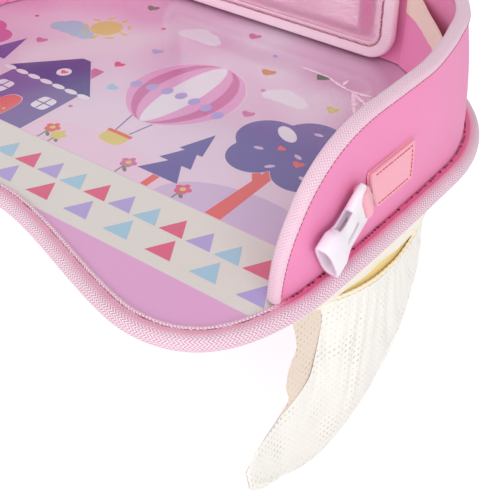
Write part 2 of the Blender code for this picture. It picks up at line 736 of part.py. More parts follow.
def add_mesh_pockets(materials):
    bag, elastic, hem = pocket_rings(), elastic_rings(), hem_rings()
    ends = [(pocket_back_x(y), y, -GAP - TAPE_THICKNESS - GAP)
            for y in (POCKET_TOP_FRONT_Y, POCKET_TOP_REAR_Y)]
    hinge = Vector(ends[0]).lerp(Vector(ends[1]), 1 / 2)
    for name, side in (("right", 1), ("left", -1)):
        place = Vector((side * hinge.x, hinge.y, hinge.z))
        pivot = add_pivot(f"{name}_pocket_pivot", Matrix.Translation(place))
        add_solid(f"{name}_pocket_hem", mirrored(hem, side), materials["mesh"])
        add_solid(f"{name}_mesh_pocket", mirrored(bag, side), materials["mesh"], pivot=pivot)
        add_solid(f"{name}_pocket_elastic", mirrored(elastic, side), materials["elastic"],
                  pivot=pivot)


HOLDER_FOOT = FACE + HOLDER_LIFT
HOLDER_TOP = HOLDER_FOOT + HOLDER_HEIGHT
HINGE_TAPE_REAR_Y = TRAY_DEPTH / 2 - INNER_FACE_INSET - GAP - TAPE_THICKNESS - GAP
HINGE_TAPE_FRONT_Y = HINGE_TAPE_REAR_Y - HINGE_TAPE_THICKNESS
HOLDER_BACK_Y = HINGE_TAPE_FRONT_Y - GAP
HOLDER_CORE_Y = HOLDER_BACK_Y - HOLDER_FABRIC - GAP
HOLDER_FRONT_Y = HOLDER_CORE_Y - HOLDER_CORE - GAP
WINDOW_Y = HOLDER_FRONT_Y - HOLDER_FABRIC - GAP
HOLDER_AXIS_Y = HOLDER_BACK_Y + GAP / 2
HOLDER_AXIS_Z = WALL_TOP + HINGE_CLEARANCE + GAP


def holder_outline(inset):
    """Rounded rectangle of the holder, as (X, Z), set in from its edge."""
    half = HOLDER_WIDTH / 2 - inset
    radius = HOLDER_CORNER_RADIUS - inset
    low, high = HOLDER_FOOT + inset, HOLDER_TOP - inset
    corners = ((half - radius, high - radius), (radius - half, high - radius),
               (radius - half, low + radius), (half - radius, low + radius))
    points = []
    for quarter, (x, z) in enumerate(corners):
        for step in range(HOLDER_CORNER_STEPS + 1):
            turn = (quarter + step / HOLDER_CORNER_STEPS) * math.pi / 2
            points.append((x + radius * math.cos(turn), z + radius * math.sin(turn)))
    return points


def add_holder_sheet(name, back_y, thickness, material, pivot):
    outline = holder_outline(HOLDER_ROLL + GAP)
    rings = [[(x, y, z) for x, z in outline] for y in (back_y, back_y - thickness)]
    add_solid(name, rings, material, pivot=pivot)


def window_rings():
    """Clear window: flat under the tape at its sides and foot, standing off inside."""
    half = HOLDER_WIDTH / 2 - WINDOW_SEAM
    low = HOLDER_FOOT + WINDOW_SEAM
    clear_radius = HOLDER_CORNER_RADIUS - HOLDER_LEG - GAP
    ramp_start = HOLDER_CORNER_RADIUS - clear_radius / math.sqrt(2) - WINDOW_SEAM
    ramp_end = ramp_start + WINDOW_RAMP
    columns = [0, ramp_start, ramp_end]
    across = [-half + step for step in columns] + [half - step for step in columns[::-1]]
    heights = [low + step for step in columns] + [HOLDER_TOP - WINDOW_TOP_SETBACK]
    raised = {0: 0.0, 1: 0.0, 2: WINDOW_STANDOFF}
    rings = []
    for column, x in enumerate(across):
        side = min(column, len(across) - 1 - column)
        depths = [raised[min(side, row, 2)] for row in range(len(heights))]
        near = [(x, WINDOW_Y - depth, z) for depth, z in zip(depths, heights)]
        far = [(x, y - WINDOW_THICKNESS, z) for x, y, z in near[::-1]]
        rings.append(near + far)
    return rings


def add_holder_binding(material, pivot):
    """Tape folded over the holder's edge."""
    low = WINDOW_Y - WINDOW_THICKNESS - GAP - TAPE_THICKNESS
    high = HOLDER_BACK_Y + GAP + TAPE_THICKNESS
    section = folded_tape(HOLDER_LEG, HOLDER_ROLL / 2, HOLDER_ROLL, low, high,
                          HOLDER_FOLD_STEPS)
    sets = [holder_outline(inset) for inset, _ in section]
    count = len(sets[0])
    rings = [[(sets[index][place][0], y, sets[index][place][1])
              for index, (_, y) in enumerate(section)] for place in range(count)]
    add_solid("holder_binding", rings, material, loop=True, pivot=pivot)


def add_hinge_tape(material):
    """Strip sewn to the wall's top tape that the holder swings on."""
    half = HINGE_TAPE_WIDTH / 2
    near, far = HINGE_TAPE_FRONT_Y, HINGE_TAPE_REAR_Y
    low = WALL_TOP - HINGE_TAPE_HEIGHT
    rings = [[(x, near, low), (x, far, low), (x, far, WALL_TOP), (x, near, WALL_TOP)]
             for x in (-half, half)]
    add_solid("holder_hinge_tape", rings, material)


def add_holder(materials):
    pivot = add_pivot("holder_pivot", Matrix.Translation((0, HOLDER_AXIS_Y, HOLDER_AXIS_Z)))
    add_holder_sheet("holder_back", HOLDER_BACK_Y, HOLDER_FABRIC, materials["skin"], pivot)
    add_holder_sheet("holder_core", HOLDER_CORE_Y, HOLDER_CORE, materials["board"], pivot)
    add_holder_sheet("holder_front", HOLDER_FRONT_Y, HOLDER_FABRIC, materials["skin"], pivot)
    add_solid("holder_window", window_rings(), materials["film"], pivot=pivot)
    add_holder_binding(materials["tape"], pivot)
    add_hinge_tape(materials["tape"])


def corner_strip(low_of, high_of, standoff, thickness):
    """A strip of the corner pocket that stands off the wall and meets it at its ends."""
    start = CORNER_START + CORNER_RADIUS * CORNER_POCKET_START_ANGLE
    stop = CORNER_START + CORNER_RADIUS * CORNER_POCKET_END_ANGLE
    rings = []
    for step in range(CORNER_POCKET_STEPS + 1):
        share = step / CORNER_POCKET_STEPS
        arch = math.sin(math.pi * share)
        near = INNER_FACE_INSET + GAP + standoff + CORNER_POCKET_STANDOFF * arch
        levels = (low_of(arch), high_of(arch))
        length = start + (stop - start) * share
        outside = [wall_point(length, level, near) for level in levels]
        inside = [wall_point(length, level, near + thickness) for level in levels[::-1]]
        rings.append(outside + inside)
    return rings


def add_corner_pockets(materials):
    def top(arch):
        return FACE + CORNER_POCKET_HEIGHT - CORNER_POCKET_SAG * arch

    def seam(arch):
        return top(arch) - CORNER_BAND_HEIGHT

    middle = (CORNER_BAND_THICKNESS - CORNER_CLOTH) / 2
    panel = corner_strip(lambda arch: WALL_FOOT, lambda arch: seam(arch) - GAP, middle,
                         CORNER_CLOTH)
    band = corner_strip(seam, top, 0, CORNER_BAND_THICKNESS)
    for name, side in (("right", 1), ("left", -1)):
        add_solid(f"{name}_corner_pocket", mirrored(panel, side), materials["skin"])
        add_solid(f"{name}_corner_band", mirrored(band, side), materials["band"])


def make_materials():
    return {
        "cover": make_material("cover_fabric", (0.75, 0.28, 0.45), 0.85),
        "board": make_material("board", (0.80, 0.80, 0.78), 0.6),
        "print": make_material("print_fabric", (0.72, 0.36, 0.62), 0.6),
        "film": make_material("clear_film", (0.95, 0.92, 0.95), 0.08, 0.25),
        "skin": make_material("pink_fabric", (0.87, 0.30, 0.53), 0.75),
        "foam": make_material("foam", (0.92, 0.90, 0.86), 0.9),
        "tape": make_material("binding_tape", (0.86, 0.52, 0.66), 0.8),
        "webbing": make_material("webbing", (0.94, 0.40, 0.47), 0.8),
        "buckle": make_material("buckle_plastic", (0.89, 0.78, 0.93), 0.35),
        "mesh": make_material("pocket_mesh", (0.92, 0.87, 0.80), 0.85),
        "elastic": make_material("pocket_elastic", (0.87, 0.60, 0.25), 0.8),
        "band": make_material("band_elastic", (0.76, 0.52, 0.46), 0.8),
    }


def build():
    clear_scene()
    materials = make_materials()
    add_layers(materials)
    add_edge_binding(materials["tape"])
    add_wall(materials)
    add_buckles(materials)
    add_mesh_pockets(materials)
    add_holder(materials)
    add_corner_pockets(materials)


build()
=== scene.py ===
# %% [markdown]
# # A child's car seat tray table
#
# The real object is a lap tray: a stiff board sewn between a cloth cover and a printed
# cloth under clear film, with a soft wall, a phone holder, two buckles and mesh bags.
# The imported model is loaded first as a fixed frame. Everything made here is measured in
# metres in that same frame, so a piece goes where the frame says, with no fitting.

import math

import bmesh
import bpy
import numpy as np
from mathutils import Matrix, Vector
from mathutils.kdtree import KDTree


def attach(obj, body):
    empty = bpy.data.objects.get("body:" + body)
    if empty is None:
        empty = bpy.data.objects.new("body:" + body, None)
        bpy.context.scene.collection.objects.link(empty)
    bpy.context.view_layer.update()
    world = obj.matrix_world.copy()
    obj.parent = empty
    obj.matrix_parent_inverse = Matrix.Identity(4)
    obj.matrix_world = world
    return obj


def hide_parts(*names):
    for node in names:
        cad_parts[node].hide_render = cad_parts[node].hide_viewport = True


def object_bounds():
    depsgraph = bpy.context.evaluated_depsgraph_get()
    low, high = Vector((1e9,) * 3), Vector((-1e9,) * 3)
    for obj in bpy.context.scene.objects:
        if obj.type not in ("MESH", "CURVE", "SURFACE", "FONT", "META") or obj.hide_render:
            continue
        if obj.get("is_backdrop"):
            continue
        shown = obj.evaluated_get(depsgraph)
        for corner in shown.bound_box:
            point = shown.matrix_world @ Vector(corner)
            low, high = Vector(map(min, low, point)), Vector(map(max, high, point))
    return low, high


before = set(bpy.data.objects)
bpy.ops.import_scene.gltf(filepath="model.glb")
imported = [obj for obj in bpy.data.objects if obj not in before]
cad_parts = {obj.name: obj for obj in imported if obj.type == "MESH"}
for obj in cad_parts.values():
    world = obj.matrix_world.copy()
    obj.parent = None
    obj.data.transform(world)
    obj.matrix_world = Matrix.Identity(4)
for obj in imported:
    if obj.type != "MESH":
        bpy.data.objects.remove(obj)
cad_bounds = [[float(value) for value in corner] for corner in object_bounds()]

# %% [markdown]
# ## The camera
#
# The picture shows only the front right part of the tray, from close by. The printed
# triangles all have one size, so they tell where the camera stood: 37 degrees to the
# right of the front and 38 degrees up. A lens length and a place are all it needs,
# with no shift, so that other views can move it freely.

# %% Stand the camera where the picture was taken
def show(name, data):
    """Put a mesh, a lamp or a camera into the scene."""
    item = bpy.data.objects.new(name, data)
    bpy.context.collection.objects.link(item)
    return item


camera = show("camera", bpy.data.cameras.new("camera"))
camera.location = (0.37859, -0.38773, 0.31257)
camera.rotation_euler = (math.radians(51.6), 0, math.radians(37))
camera.data.lens = 68.9
camera.data.sensor_width = 36
camera.data.clip_start = 0.01
bpy.context.scene.camera = camera
print("camera looks from", tuple(round(value, 3) for value in camera.location))

# %% [markdown]
# ## Numbers that follow a seam
#
# Sewn pieces follow simple rules: so far along a seam, so far across. These helpers
# measure along a row of points, walk along it and put coordinates together, so that the
# later steps only have to say the rule.

# %% Helpers for rows of points
def join(*axes):
    """Coordinates of any matching sizes, put together as one array of points."""
    return np.stack(np.broadcast_arrays(*axes), -1)


def distances(points):
    """Distance travelled at each point of a row of points."""
    steps = np.linalg.norm(np.diff(np.asarray(points, float), axis=0), axis=1)
    return np.concatenate(([0], np.cumsum(steps)))


def walk(points, run, length):
    """Places at given lengths along a row of points, whose own lengths are in run."""
    return join(*(np.interp(length, run, column) for column in np.transpose(points)))


def evenly(points, count):
    run = distances(points)
    return walk(points, run, np.linspace(0, run[-1], count))


def unit(vectors):
    return vectors / np.linalg.norm(vectors, axis=-1, keepdims=True)


def smooth(share):
    share = np.clip(share, 0.0, 1.0)
    return share * share * (3 - 2 * share)


def angles(count):
    return np.linspace(0, 2 * math.pi, count, endpoint=False)


def signed_power(values, power):
    """Under a power of 1 it turns a circle into a rounded rectangle."""
    return np.sign(values) * np.abs(values) ** power


def rounded_rectangle(left, right, low, high, radius, steps):
    """Outline with round corners. It starts on the right and runs anticlockwise."""
    turn = np.linspace(0, math.pi / 2, steps)
    centres = ((right - radius, high - radius), (left + radius, high - radius),
               (left + radius, low + radius), (right - radius, low + radius))
    return np.vstack([join(x + radius * np.cos(turn + quarter * math.pi / 2),
                           y + radius * np.sin(turn + quarter * math.pi / 2))
                      for quarter, (x, y) in enumerate(centres)])


# %% [markdown]
# ## Meshes for sewn cloth
#
# Cloth could be modelled by pushing points about by hand, but a grid of places computed
# from rules is exact and easy to change. Each grid also keeps its lengths in metres as
# UV coordinates, so a weave has its true size on every piece. A cloth simulation can
# then let a limp piece hang under its own weight.

# %% Turn grids of places into cloth
def apply_modifiers(item):
    graph = bpy.context.evaluated_depsgraph_get()
    mesh = bpy.data.meshes.new_from_object(item.evaluated_get(graph))
    item.modifiers.clear()
    item.data = mesh


def place(item, body, slot, *nodes):
    """Let a piece ride on a body and hide the solids it stands for. slot is not used."""
    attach(item, body)
    if nodes:
        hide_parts(*nodes)
    return item


def grid_object(name, places, metres, material, rides=None, side=1, thickness=0.0,
                closed=False):
    """A grid of places (rows, columns, 3) as an object, mirrored to the left if side is -1.

    rides holds what place() needs to know about the piece.
    """
    places, metres = (join(*grid) if isinstance(grid, tuple) else np.asarray(grid, float)
                      for grid in (places, metres))
    if side < 0:
        places = (places * (-1, 1, 1))[:, ::-1]
        metres = metres[:, ::-1]
    rows, columns = places.shape[:2]
    index = np.arange(rows * columns).reshape(rows, columns)
    quads = np.stack([index[:-1, :-1], index[1:, :-1], index[1:, 1:], index[:-1, 1:]], -1)
    quads = quads.reshape(-1, 4)
    mesh = bpy.data.meshes.new(name)
    mesh.from_pydata(places.reshape(-1, 3).tolist(), [], quads.tolist())
    mesh.uv_layers.new(name="metres").data.foreach_set(
        "uv", metres.reshape(-1, 2)[quads.ravel()].ravel())
    work = bmesh.new()
    work.from_mesh(mesh)
    bmesh.ops.remove_doubles(work, verts=work.verts, dist=1e-6)
    if closed:
        bmesh.ops.recalc_face_normals(work, faces=work.faces)
    work.to_mesh(mesh)
    work.free()
    mesh.materials.append(material)
    item = show(name, mesh)
    if thickness:
        solid = item.modifiers.new("thickness", "SOLIDIFY")
        solid.thickness, solid.offset = thickness, -1
        apply_modifiers(item)
    item.data.shade_smooth()
    item.data.set_sharp_from_angle(angle=math.radians(42))
    return place(item, *rides) if rides else item


def settle(item, sewn, spare, frames):
    """Let cloth with some spare length hang under its own weight between its seams."""
    item.vertex_groups.new(name="sewn").add([int(index) for index in sewn], 1.0, "REPLACE")
    cloth = item.modifiers.new("cloth", "CLOTH")
    rules = cloth.settings
    rules.quality, rules.mass = 8, 0.08
    rules.tension_stiffness = rules.compression_stiffness = 12
    rules.shear_stiffness, rules.bending_stiffness = 4, 0.05
    rules.tension_damping = rules.compression_damping = 12
    rules.vertex_group_mass = "sewn"
    rules.shrink_min = -spare
    cloth.collision_settings.use_collision = False
    for frame_number in range(1, frames + 1):
        bpy.context.scene.frame_set(frame_number)
    apply_modifiers(item)
    item.vertex_groups.clear()
    bpy.context.scene.frame_set(1)


# %% [markdown]
# ## Shader nodes in a few words
#
# A material is a small graph of nodes. Sums in it soon get long, because each plus or
# minus is a node of its own. So an output is wrapped here as a Value, and a sum that is
# written down adds the nodes that work it out. Effects that several cloths share, such
# as a weave, become groups that are built once and used with other numbers each time.

# %% Helpers for shader graphs
def srgb(red, green, blue):
    """A colour as it is seen on a screen, turned into the linear values a shader needs."""
    values = np.array([red, green, blue]) / 255
    linear = np.where(values <= 0.04045, values / 12.92, ((values + 0.055) / 1.055) ** 2.4)
    return (*map(float, linear), 1.0)


class Value:
    """What a node puts out. A sum with it adds the nodes that work the sum out."""

    def __init__(self, socket):
        self.socket, self.tree = socket, socket.id_data

    def beside(self, name):
        """Another output of the same node."""
        return Value(self.socket.node.outputs[name])

    def __add__(self, other):
        return calc("ADD", self, other)

    def __sub__(self, other):
        return calc("SUBTRACT", self, other)

    def __rsub__(self, other):
        return calc("SUBTRACT", other, self)

    def __mul__(self, other):
        return calc("MULTIPLY", self, other)

    def __truediv__(self, other):
        return calc("DIVIDE", self, other)

    def __pow__(self, other):
        return calc("POWER", self, other)

    def __abs__(self):
        return calc("ABSOLUTE", self)


def feed(node, inputs):
    """Link each Value to its input of a node, and write plain numbers and colours in."""
    for socket, value in inputs.items():
        if isinstance(value, Value):
            node.id_data.links.new(value.socket, node.inputs[socket])
        else:
            node.inputs[socket].default_value = value


def add_node(tree, kind, inputs=None, out=0, **settings):
    made = tree.nodes.new(kind)
    for key, value in settings.items():
        setattr(made, key, value)
    feed(made, inputs or {})
    return Value(made.outputs[out])


def calc(operation, *values):
    tree = next(value.tree for value in values if isinstance(value, Value))
    return add_node(tree, "ShaderNodeMath", dict(enumerate(values)), operation=operation)


def blend_colours(share, first, second):
    return add_node(share.tree, "ShaderNodeMix", {0: share, 6: first, 7: second}, out=2,
                    data_type="RGBA")


def spread(value, low, high, to_low=0.0, to_high=1.0):
    """Stretch the range from low to high over the one from to_low to to_high."""
    return add_node(value.tree, "ShaderNodeMapRange", {
        "Value": value, "From Min": low, "From Max": high, "To Min": to_low,
        "To Max": to_high})


def noise(tree, scale, detail, where=None):
    inputs = {"Scale": scale, "Detail": detail}
    return add_node(tree, "ShaderNodeTexNoise",
                    inputs if where is None else {"Vector": where, **inputs})


def bumps(height, distance):
    return add_node(height.tree, "ShaderNodeBump", {"Height": height, "Distance": distance})


def split(vector):
    """The first two coordinates of a place."""
    across = add_node(vector.tree, "ShaderNodeSeparateXYZ", {0: vector})
    return across, across.beside("Y")


FLOAT, VECTOR, COLOUR = "NodeSocketFloat", "NodeSocketVector", "NodeSocketColor"


def new_group(name, inputs, output, build):
    """A group of nodes. build is given its inputs by name and hands back its output."""
    group = bpy.data.node_groups.new(name, "ShaderNodeTree")
    for label, kind, value in inputs:
        socket = group.interface.new_socket(label, in_out="INPUT", socket_type=kind)
        if value is not None:
            socket.default_value = value
    group.interface.new_socket(output[0], in_out="OUTPUT", socket_type=output[1])
    entry, leaving = (group.nodes.new(kind) for kind in ("NodeGroupInput", "NodeGroupOutput"))
    feed(leaving, {0: build({socket.name: Value(socket) for socket in entry.outputs})})
    return group


# %% [markdown]
# ## Weaves
#
# Four weaves cover this tray. Plain cloth has threads that pass over and under each
# other. Elastic has ribs across its length. The ribbed tapes show zigzag lines, and the
# webbing has fine slanting lines that cross. Each could be a picture, but sines of the
# place in millimetres give the same pattern at any distance, with no edge that repeats.

# %% Four weaves
def sine_wave(value, pitch):
    """A signed wave that passes 0 once in each pitch."""
    return calc("SINE", value / pitch * math.pi)


def worn(where, scale, detail, least):
    """How much of a weave is left: handling has flattened it down to least in places."""
    return spread(noise(where.tree, scale, detail, where), 0.35, 0.65, least)


def plain_height(given):
    warp, weft = (sine_wave(axis, given["Thread mm"]) for axis in split(given["Place mm"]))
    over = calc("GREATER_THAN", warp * weft, 0.0)
    return over * abs(warp) + (1.0 - over) * abs(weft)


def rib_height(given):
    x, y = split(given["Place mm"])
    grain = abs(sine_wave(y, given["Thread mm"])) * 0.5 + 0.5
    relief = abs(sine_wave(x, given["Rib mm"])) ** 0.6 * grain
    return (relief - 0.7) * worn(given["Place mm"], 0.09, 2.0, 0.55) + 0.7


def zigzag_height(given):
    x, y = split(given["Place mm"])
    slant = abs(calc("FRACT", y / given["Row mm"]) - 0.5) * (given["Row mm"] * 1.6)
    line = abs(sine_wave(x + slant, given["Line mm"]))
    return (line - 0.6) * worn(given["Place mm"], 0.25, 3.0, 0.6) + 0.6


def twill_height(given):
    x, y = split(given["Place mm"])
    rising, falling = (abs(sine_wave(slope, given["Line mm"])) for slope in (x + y, x - y))
    return (rising * falling) ** 0.6


def weave_group(name, sizes, build):
    places = [("Place mm", VECTOR, None)]
    return new_group(name, places + [(label, FLOAT, size) for label, size in sizes.items()],
                     ("Height", FLOAT), build)


plain_weave = weave_group("plain_weave", {"Thread mm": 0.6}, plain_height)
ribs = weave_group("ribs", {"Rib mm": 1.8, "Thread mm": 0.8}, rib_height)
zigzag = weave_group("zigzag", {"Line mm": 1.7, "Row mm": 2.6}, zigzag_height)
twill = weave_group("twill", {"Line mm": 1.4}, twill_height)

# %% [markdown]
# ## Uneven dye and handling
#
# No cloth has one colour all over. Dye takes unevenly, and hands and folds leave it
# lighter or darker. Two sizes of noise shift the brightness a little: broad clouds and
# a fine speckle. Every cloth uses this group with its own amounts.

# %% Uneven colour
def uneven(given):
    here = add_node(given["Broad"].tree, "ShaderNodeTexCoord", out="Object")
    clouds = noise(here.tree, given["Cloud size"], 3.0, here)
    speckle = noise(here.tree, 900.0, 2.0, here)
    level = (clouds - 0.5) * given["Broad"] + (speckle - 0.5) * given["Fine"] + 1.0
    return add_node(here.tree, "ShaderNodeVectorMath", {0: given["Colour"], "Scale": level},
                    operation="SCALE")


uneven_colour = new_group(
    "uneven_colour", [("Colour", COLOUR, None), ("Broad", FLOAT, 0.08), ("Fine", FLOAT, 0.06),
                      ("Cloud size", FLOAT, 22.0)], ("Colour", COLOUR), uneven)
print("groups:", [item.name for item in bpy.data.node_groups])

# %% [markdown]
# ## Cloth and tape finishes
#
# A cloth finish is made of the same few things each time: a dye colour, shade between
# the threads, a bump from the weave, and a soft sheen. One function puts them together,
# and each cloth on the tray calls it with its own colour, weave and thread size.

# %% Make a cloth finish
def start_finish(name, roughness, sockets=None):
    material = bpy.data.materials.new(name)
    material.use_nodes = True
    shader = material.node_tree.nodes["Principled BSDF"]
    feed(shader, {"Roughness": roughness, **(sockets or {})})
    return material, material.node_tree, shader


def place_in_mm(tree):
    uv = add_node(tree, "ShaderNodeUVMap", uv_map="metres")
    return add_node(tree, "ShaderNodeVectorMath", {0: uv, "Scale": 1000.0}, operation="SCALE")


def weave_height(tree, weave, sizes):
    return add_node(tree, "ShaderNodeGroup", {"Place mm": place_in_mm(tree), **sizes},
                    node_tree=weave)


def vary(tree, colour, broad, fine, cloud_size=22.0):
    return add_node(tree, "ShaderNodeGroup", {
        "Colour": colour, "Broad": broad, "Fine": fine, "Cloud size": cloud_size},
        node_tree=uneven_colour)


def cloth_finish(name, colour, weave, sizes, furrow, bump, sheen=0.25, broad=0.08, fine=0.06):
    """furrow is the colour between the threads, and bump their height in metres."""
    material, tree, shader = start_finish(name, 0.85, {
        "Sheen Weight": sheen, "Sheen Roughness": 0.45, "Specular IOR Level": 0.35})
    height = weave_height(tree, weave, sizes)
    mixed = blend_colours(height, srgb(*furrow), srgb(*colour))
    feed(shader, {"Base Color": vary(tree, mixed, broad, fine), "Normal": bumps(height, bump)})
    return material


skin_cloth = cloth_finish("pink_cloth", (250, 152, 200), plain_weave, {"Thread mm": 0.5},
                          (243, 134, 188), 0.00005, broad=0.10, fine=0.04)
# The dark finish of the needle holes is painted shade.
needle_hole_shade = cloth_finish("needle_hole_shade", (96, 40, 62), plain_weave, {"Thread mm": 0.4},
                           (70, 26, 44), 0.00002, sheen=0.0)
(cover_cloth, top_tape_cloth, holder_tape_cloth, webbing_cloth, band_cloth, hem_cloth,
 mouth_elastic, lining_cloth) = (cloth_finish(*row) for row in (
     ("cover_cloth", (205, 120, 160), plain_weave, {"Thread mm": 0.8}, (170, 90, 130), 0.0001),
     ("top_tape", (255, 232, 244), zigzag, {"Line mm": 1.8, "Row mm": 2.1},
      (222, 146, 182), 0.00022),
     ("holder_tape", (255, 248, 252), zigzag, {"Line mm": 2.0, "Row mm": 2.4},
      (240, 162, 198), 0.00026),
     ("tab_webbing", (255, 192, 206), twill, {"Line mm": 1.5}, (246, 154, 174), 0.0001),
     ("elastic_band", (255, 234, 218), ribs, {"Rib mm": 0.9, "Thread mm": 1.2},
      (246, 214, 198), 0.0001),
     ("hem_cloth", (255, 249, 240), plain_weave, {"Thread mm": 0.6}, (248, 236, 220), 0.00006),
     ("mouth_elastic", (255, 246, 222), ribs, {"Rib mm": 0.9, "Thread mm": 1.0},
      (252, 234, 194), 0.0001),
     ("mouth_lining", (255, 232, 158), plain_weave, {"Thread mm": 0.6},
      (252, 214, 128), 0.00006)))
thread_cloth, coral_thread, pale_thread = (
    cloth_finish(name, colour, ribs, {"Rib mm": 0.3, "Thread mm": 0.3}, furrow, 0.00003)
    for name, colour, furrow in (("sewing_thread", (196, 84, 124), (168, 60, 100)),
                                 ("coral_thread", (226, 92, 116), (196, 66, 92)),
                                 ("pale_thread", (250, 190, 212), (232, 160, 188))))
print("cloths:", [item.name for item in bpy.data.materials])

# %% [markdown]
# ## The plan of the tray
#
# All sewn edges follow the tray's plan, so the plan comes first: a belly cut-out and a
# rounded lobe at the front, a slightly splayed side and a round rear corner. Curves with
# two handles give it with four points each. A place on it is then a distance along the
# edge and an inset, which is how a tailor would mark it.

# %% Draw the plan
def curve(start, leave, arrive, end, count=400):
    t = np.linspace(0, 1, count, endpoint=False)[:, None]
    start, leave, arrive, end = np.array((start, leave, arrive, end))
    return ((1 - t) ** 3 * start + 3 * t * (1 - t) ** 2 * leave
            + 3 * t ** 2 * (1 - t) * arrive + t ** 3 * end)


CORNER_RADIUS, CORNER_X, CORNER_Y = 0.1116, 0.0884, 0.0484
quarter = np.linspace(0, math.pi / 2, 400)
EDGE = np.vstack((
    curve((0, -0.127), (0.03516, -0.127), (0.10176, -0.16), (0.1332, -0.16)),
    curve((0.1332, -0.16), (0.16769, -0.16), (0.1863, -0.14059), (0.1949, -0.0976)),
    curve((0.1949, -0.0976), (0.1989, -0.0776), (0.2, 0.01847), (0.2, CORNER_Y)),
    (CORNER_X, CORNER_Y) + CORNER_RADIUS * join(np.cos(quarter), np.sin(quarter)),
    [(0, 0.16)]))
EDGE_RUN = distances(EDGE)
HALF = EDGE_RUN[-1]
CORNER_END = HALF - CORNER_X
CORNER_START = CORNER_END - CORNER_RADIUS * math.pi / 2
EDGE_HEADING = np.gradient(EDGE, EDGE_RUN, axis=0)
print(f"edge all round: {2 * HALF * 1000:.0f} mm")


def on_edge(length, inset=0.0):
    """Plan positions at distances along the whole edge, right half first, set in by inset."""
    length = np.asarray(length, float)
    side = np.where(length > HALF, -1.0, 1.0)
    along = np.where(length > HALF, 2 * HALF - length, length)
    (x, y), (heading_x, heading_y) = (
        [np.interp(along, EDGE_RUN, row[:, axis]) for axis in (0, 1)]
        for row in (EDGE, EDGE_HEADING))
    size = np.hypot(heading_x, heading_y)
    return side * (x - inset * heading_y / size), y + inset * heading_x / size


def length_at_y(y):
    start = int(np.argmin(EDGE[:, 1]))
    return np.interp(y, EDGE[start:, 1], EDGE_RUN[start:])


# %% [markdown]
# ## The plain layers
#
# The cover below, the printed cloth and the clear film above are flat sheets of the same
# plan. A sheet could be one flat polygon, but a grid that runs from the middle out to
# the edge keeps the sheet's own lengths for the weave.

# %% Lay a flat sheet inside the plan
COVER_TOP, PRINT_TOP, FILM_BOTTOM, FACE = 0.0008, 0.0062, 0.0065, 0.0069
LAYER_INSET = 0.0027


def flat_sheet(name, level, material, slot, node, thickness, up=1):
    outline = join(*on_edge(np.linspace(0, 2 * HALF, 480), LAYER_INSET))
    outline[-1] = outline[0]
    plan = np.linspace(0, 1, 36)[:, None, None] * outline
    if up < 0:
        plan = plan[::-1]
    return grid_object(name, (plan[..., 0], plan[..., 1], level), plan, material,
                       ("tray", slot, node), thickness=thickness)


cover = flat_sheet("cover_under_tray", 0.0, cover_cloth, "cover", "bottom_cover",
                   COVER_TOP - 0.0001, up=-1)
outline = join(*on_edge(np.linspace(0, 2 * HALF, 2000), LAYER_INSET))

# %% [markdown]
# ## The printed cloth
#
# The print has a lilac-pink ground, a cream band near the child with two rows of small
# triangles, and large plain figures behind it. The ground and the band are painted in
# the shader from the place on the cloth, because they are only colours. The figures are
# thin shapes of ink laid just over the cloth, which keeps their outlines crisp.

# %% The ground of the print
def finish_print(name, colour_of):
    material, tree, shader = start_finish(name, 0.5, {"Specular IOR Level": 0.3})
    height = weave_height(tree, plain_weave, {"Thread mm": 0.7})
    feed(shader, {"Base Color": vary(tree, colour_of(tree), 0.07, 0.05, 14.0),
                  "Normal": bumps(height, 0.00002)})
    return material


def ground_colours(tree):
    where = place_in_mm(tree)
    back = split(where)[1]
    clouds = spread(noise(tree, 0.012, 1.0, where), 0.42, 0.6)
    far = blend_colours(spread(back, -10.0, 70.0), srgb(232, 206, 228), srgb(230, 184, 216))
    cloudy = blend_colours(clouds, far, srgb(236, 212, 232))
    ground = blend_colours(spread(back, -70.0, -66.0), srgb(234, 168, 217), cloudy)
    band = spread(back, -119.9, -119.3) * spread(back, -68.3, -68.9)
    return blend_colours(band, ground, srgb(232, 225, 219))


printed = flat_sheet("printed_cloth", PRINT_TOP, finish_print("print_ground", ground_colours),
                     "print", "top_print", 0.0007)

# %% [markdown]
# ## Ink shapes
#
# The design is a plain one of its own: two rows of triangles, and behind them a house,
# trees, a balloon, clouds and hearts in violet, pink, coral and yellow. Each
# shape is one flat polygon, and the large ones have a thin pale rim under them, as print
# on such cloth has. All of them share one mesh, and the ink colour is kept on the mesh as
# an attribute.

# %% Shapes to print with
ink_shapes = []
RIM, WIDE_RIM = 0.0006, 0.0009
INK = {name: srgb(*colour) for name, colour in {
    "rose": (228, 76, 126), "lilac": (182, 162, 224), "sky": (166, 204, 228),
    "violet": (110, 86, 160), "indigo": (92, 76, 160), "pink": (234, 162, 212),
    "deep": (212, 104, 168), "coral": (232, 88, 90), "yellow": (226, 204, 112),
    "orange": (214, 134, 52), "green": (104, 124, 106), "cream": (240, 230, 242),
    "rim": (240, 214, 226), "night": (44, 30, 132), "haze": (214, 186, 222),
    "pale": (240, 206, 228)}.items()}


def ink(points, colour, layer=1, rim=0.0):
    """Add a polygon in metres. A pale rim shows round it where rim is over 0."""
    points = np.asarray(points, float)
    if rim:
        middle = points.mean(axis=0)
        reach = np.abs(points - middle).max()
        ink_shapes.append((middle + (points - middle) * (1 + rim / reach), INK["rim"], layer - 0.5))
    ink_shapes.append((points, INK[colour], layer))


def turned(points, turn, x, y):
    """Points turned about the origin and then moved to (x, y)."""
    cosine, sine = math.cos(turn), math.sin(turn)
    return points @ np.array([[cosine, sine], [-sine, cosine]]) + (x, y)


def oval(x, y, half_width, half_height, turn=0.0, power=1.0):
    angle = angles(48)
    return turned(join(half_width * signed_power(np.cos(angle), power),
                       half_height * signed_power(np.sin(angle), power)), turn, x, y)


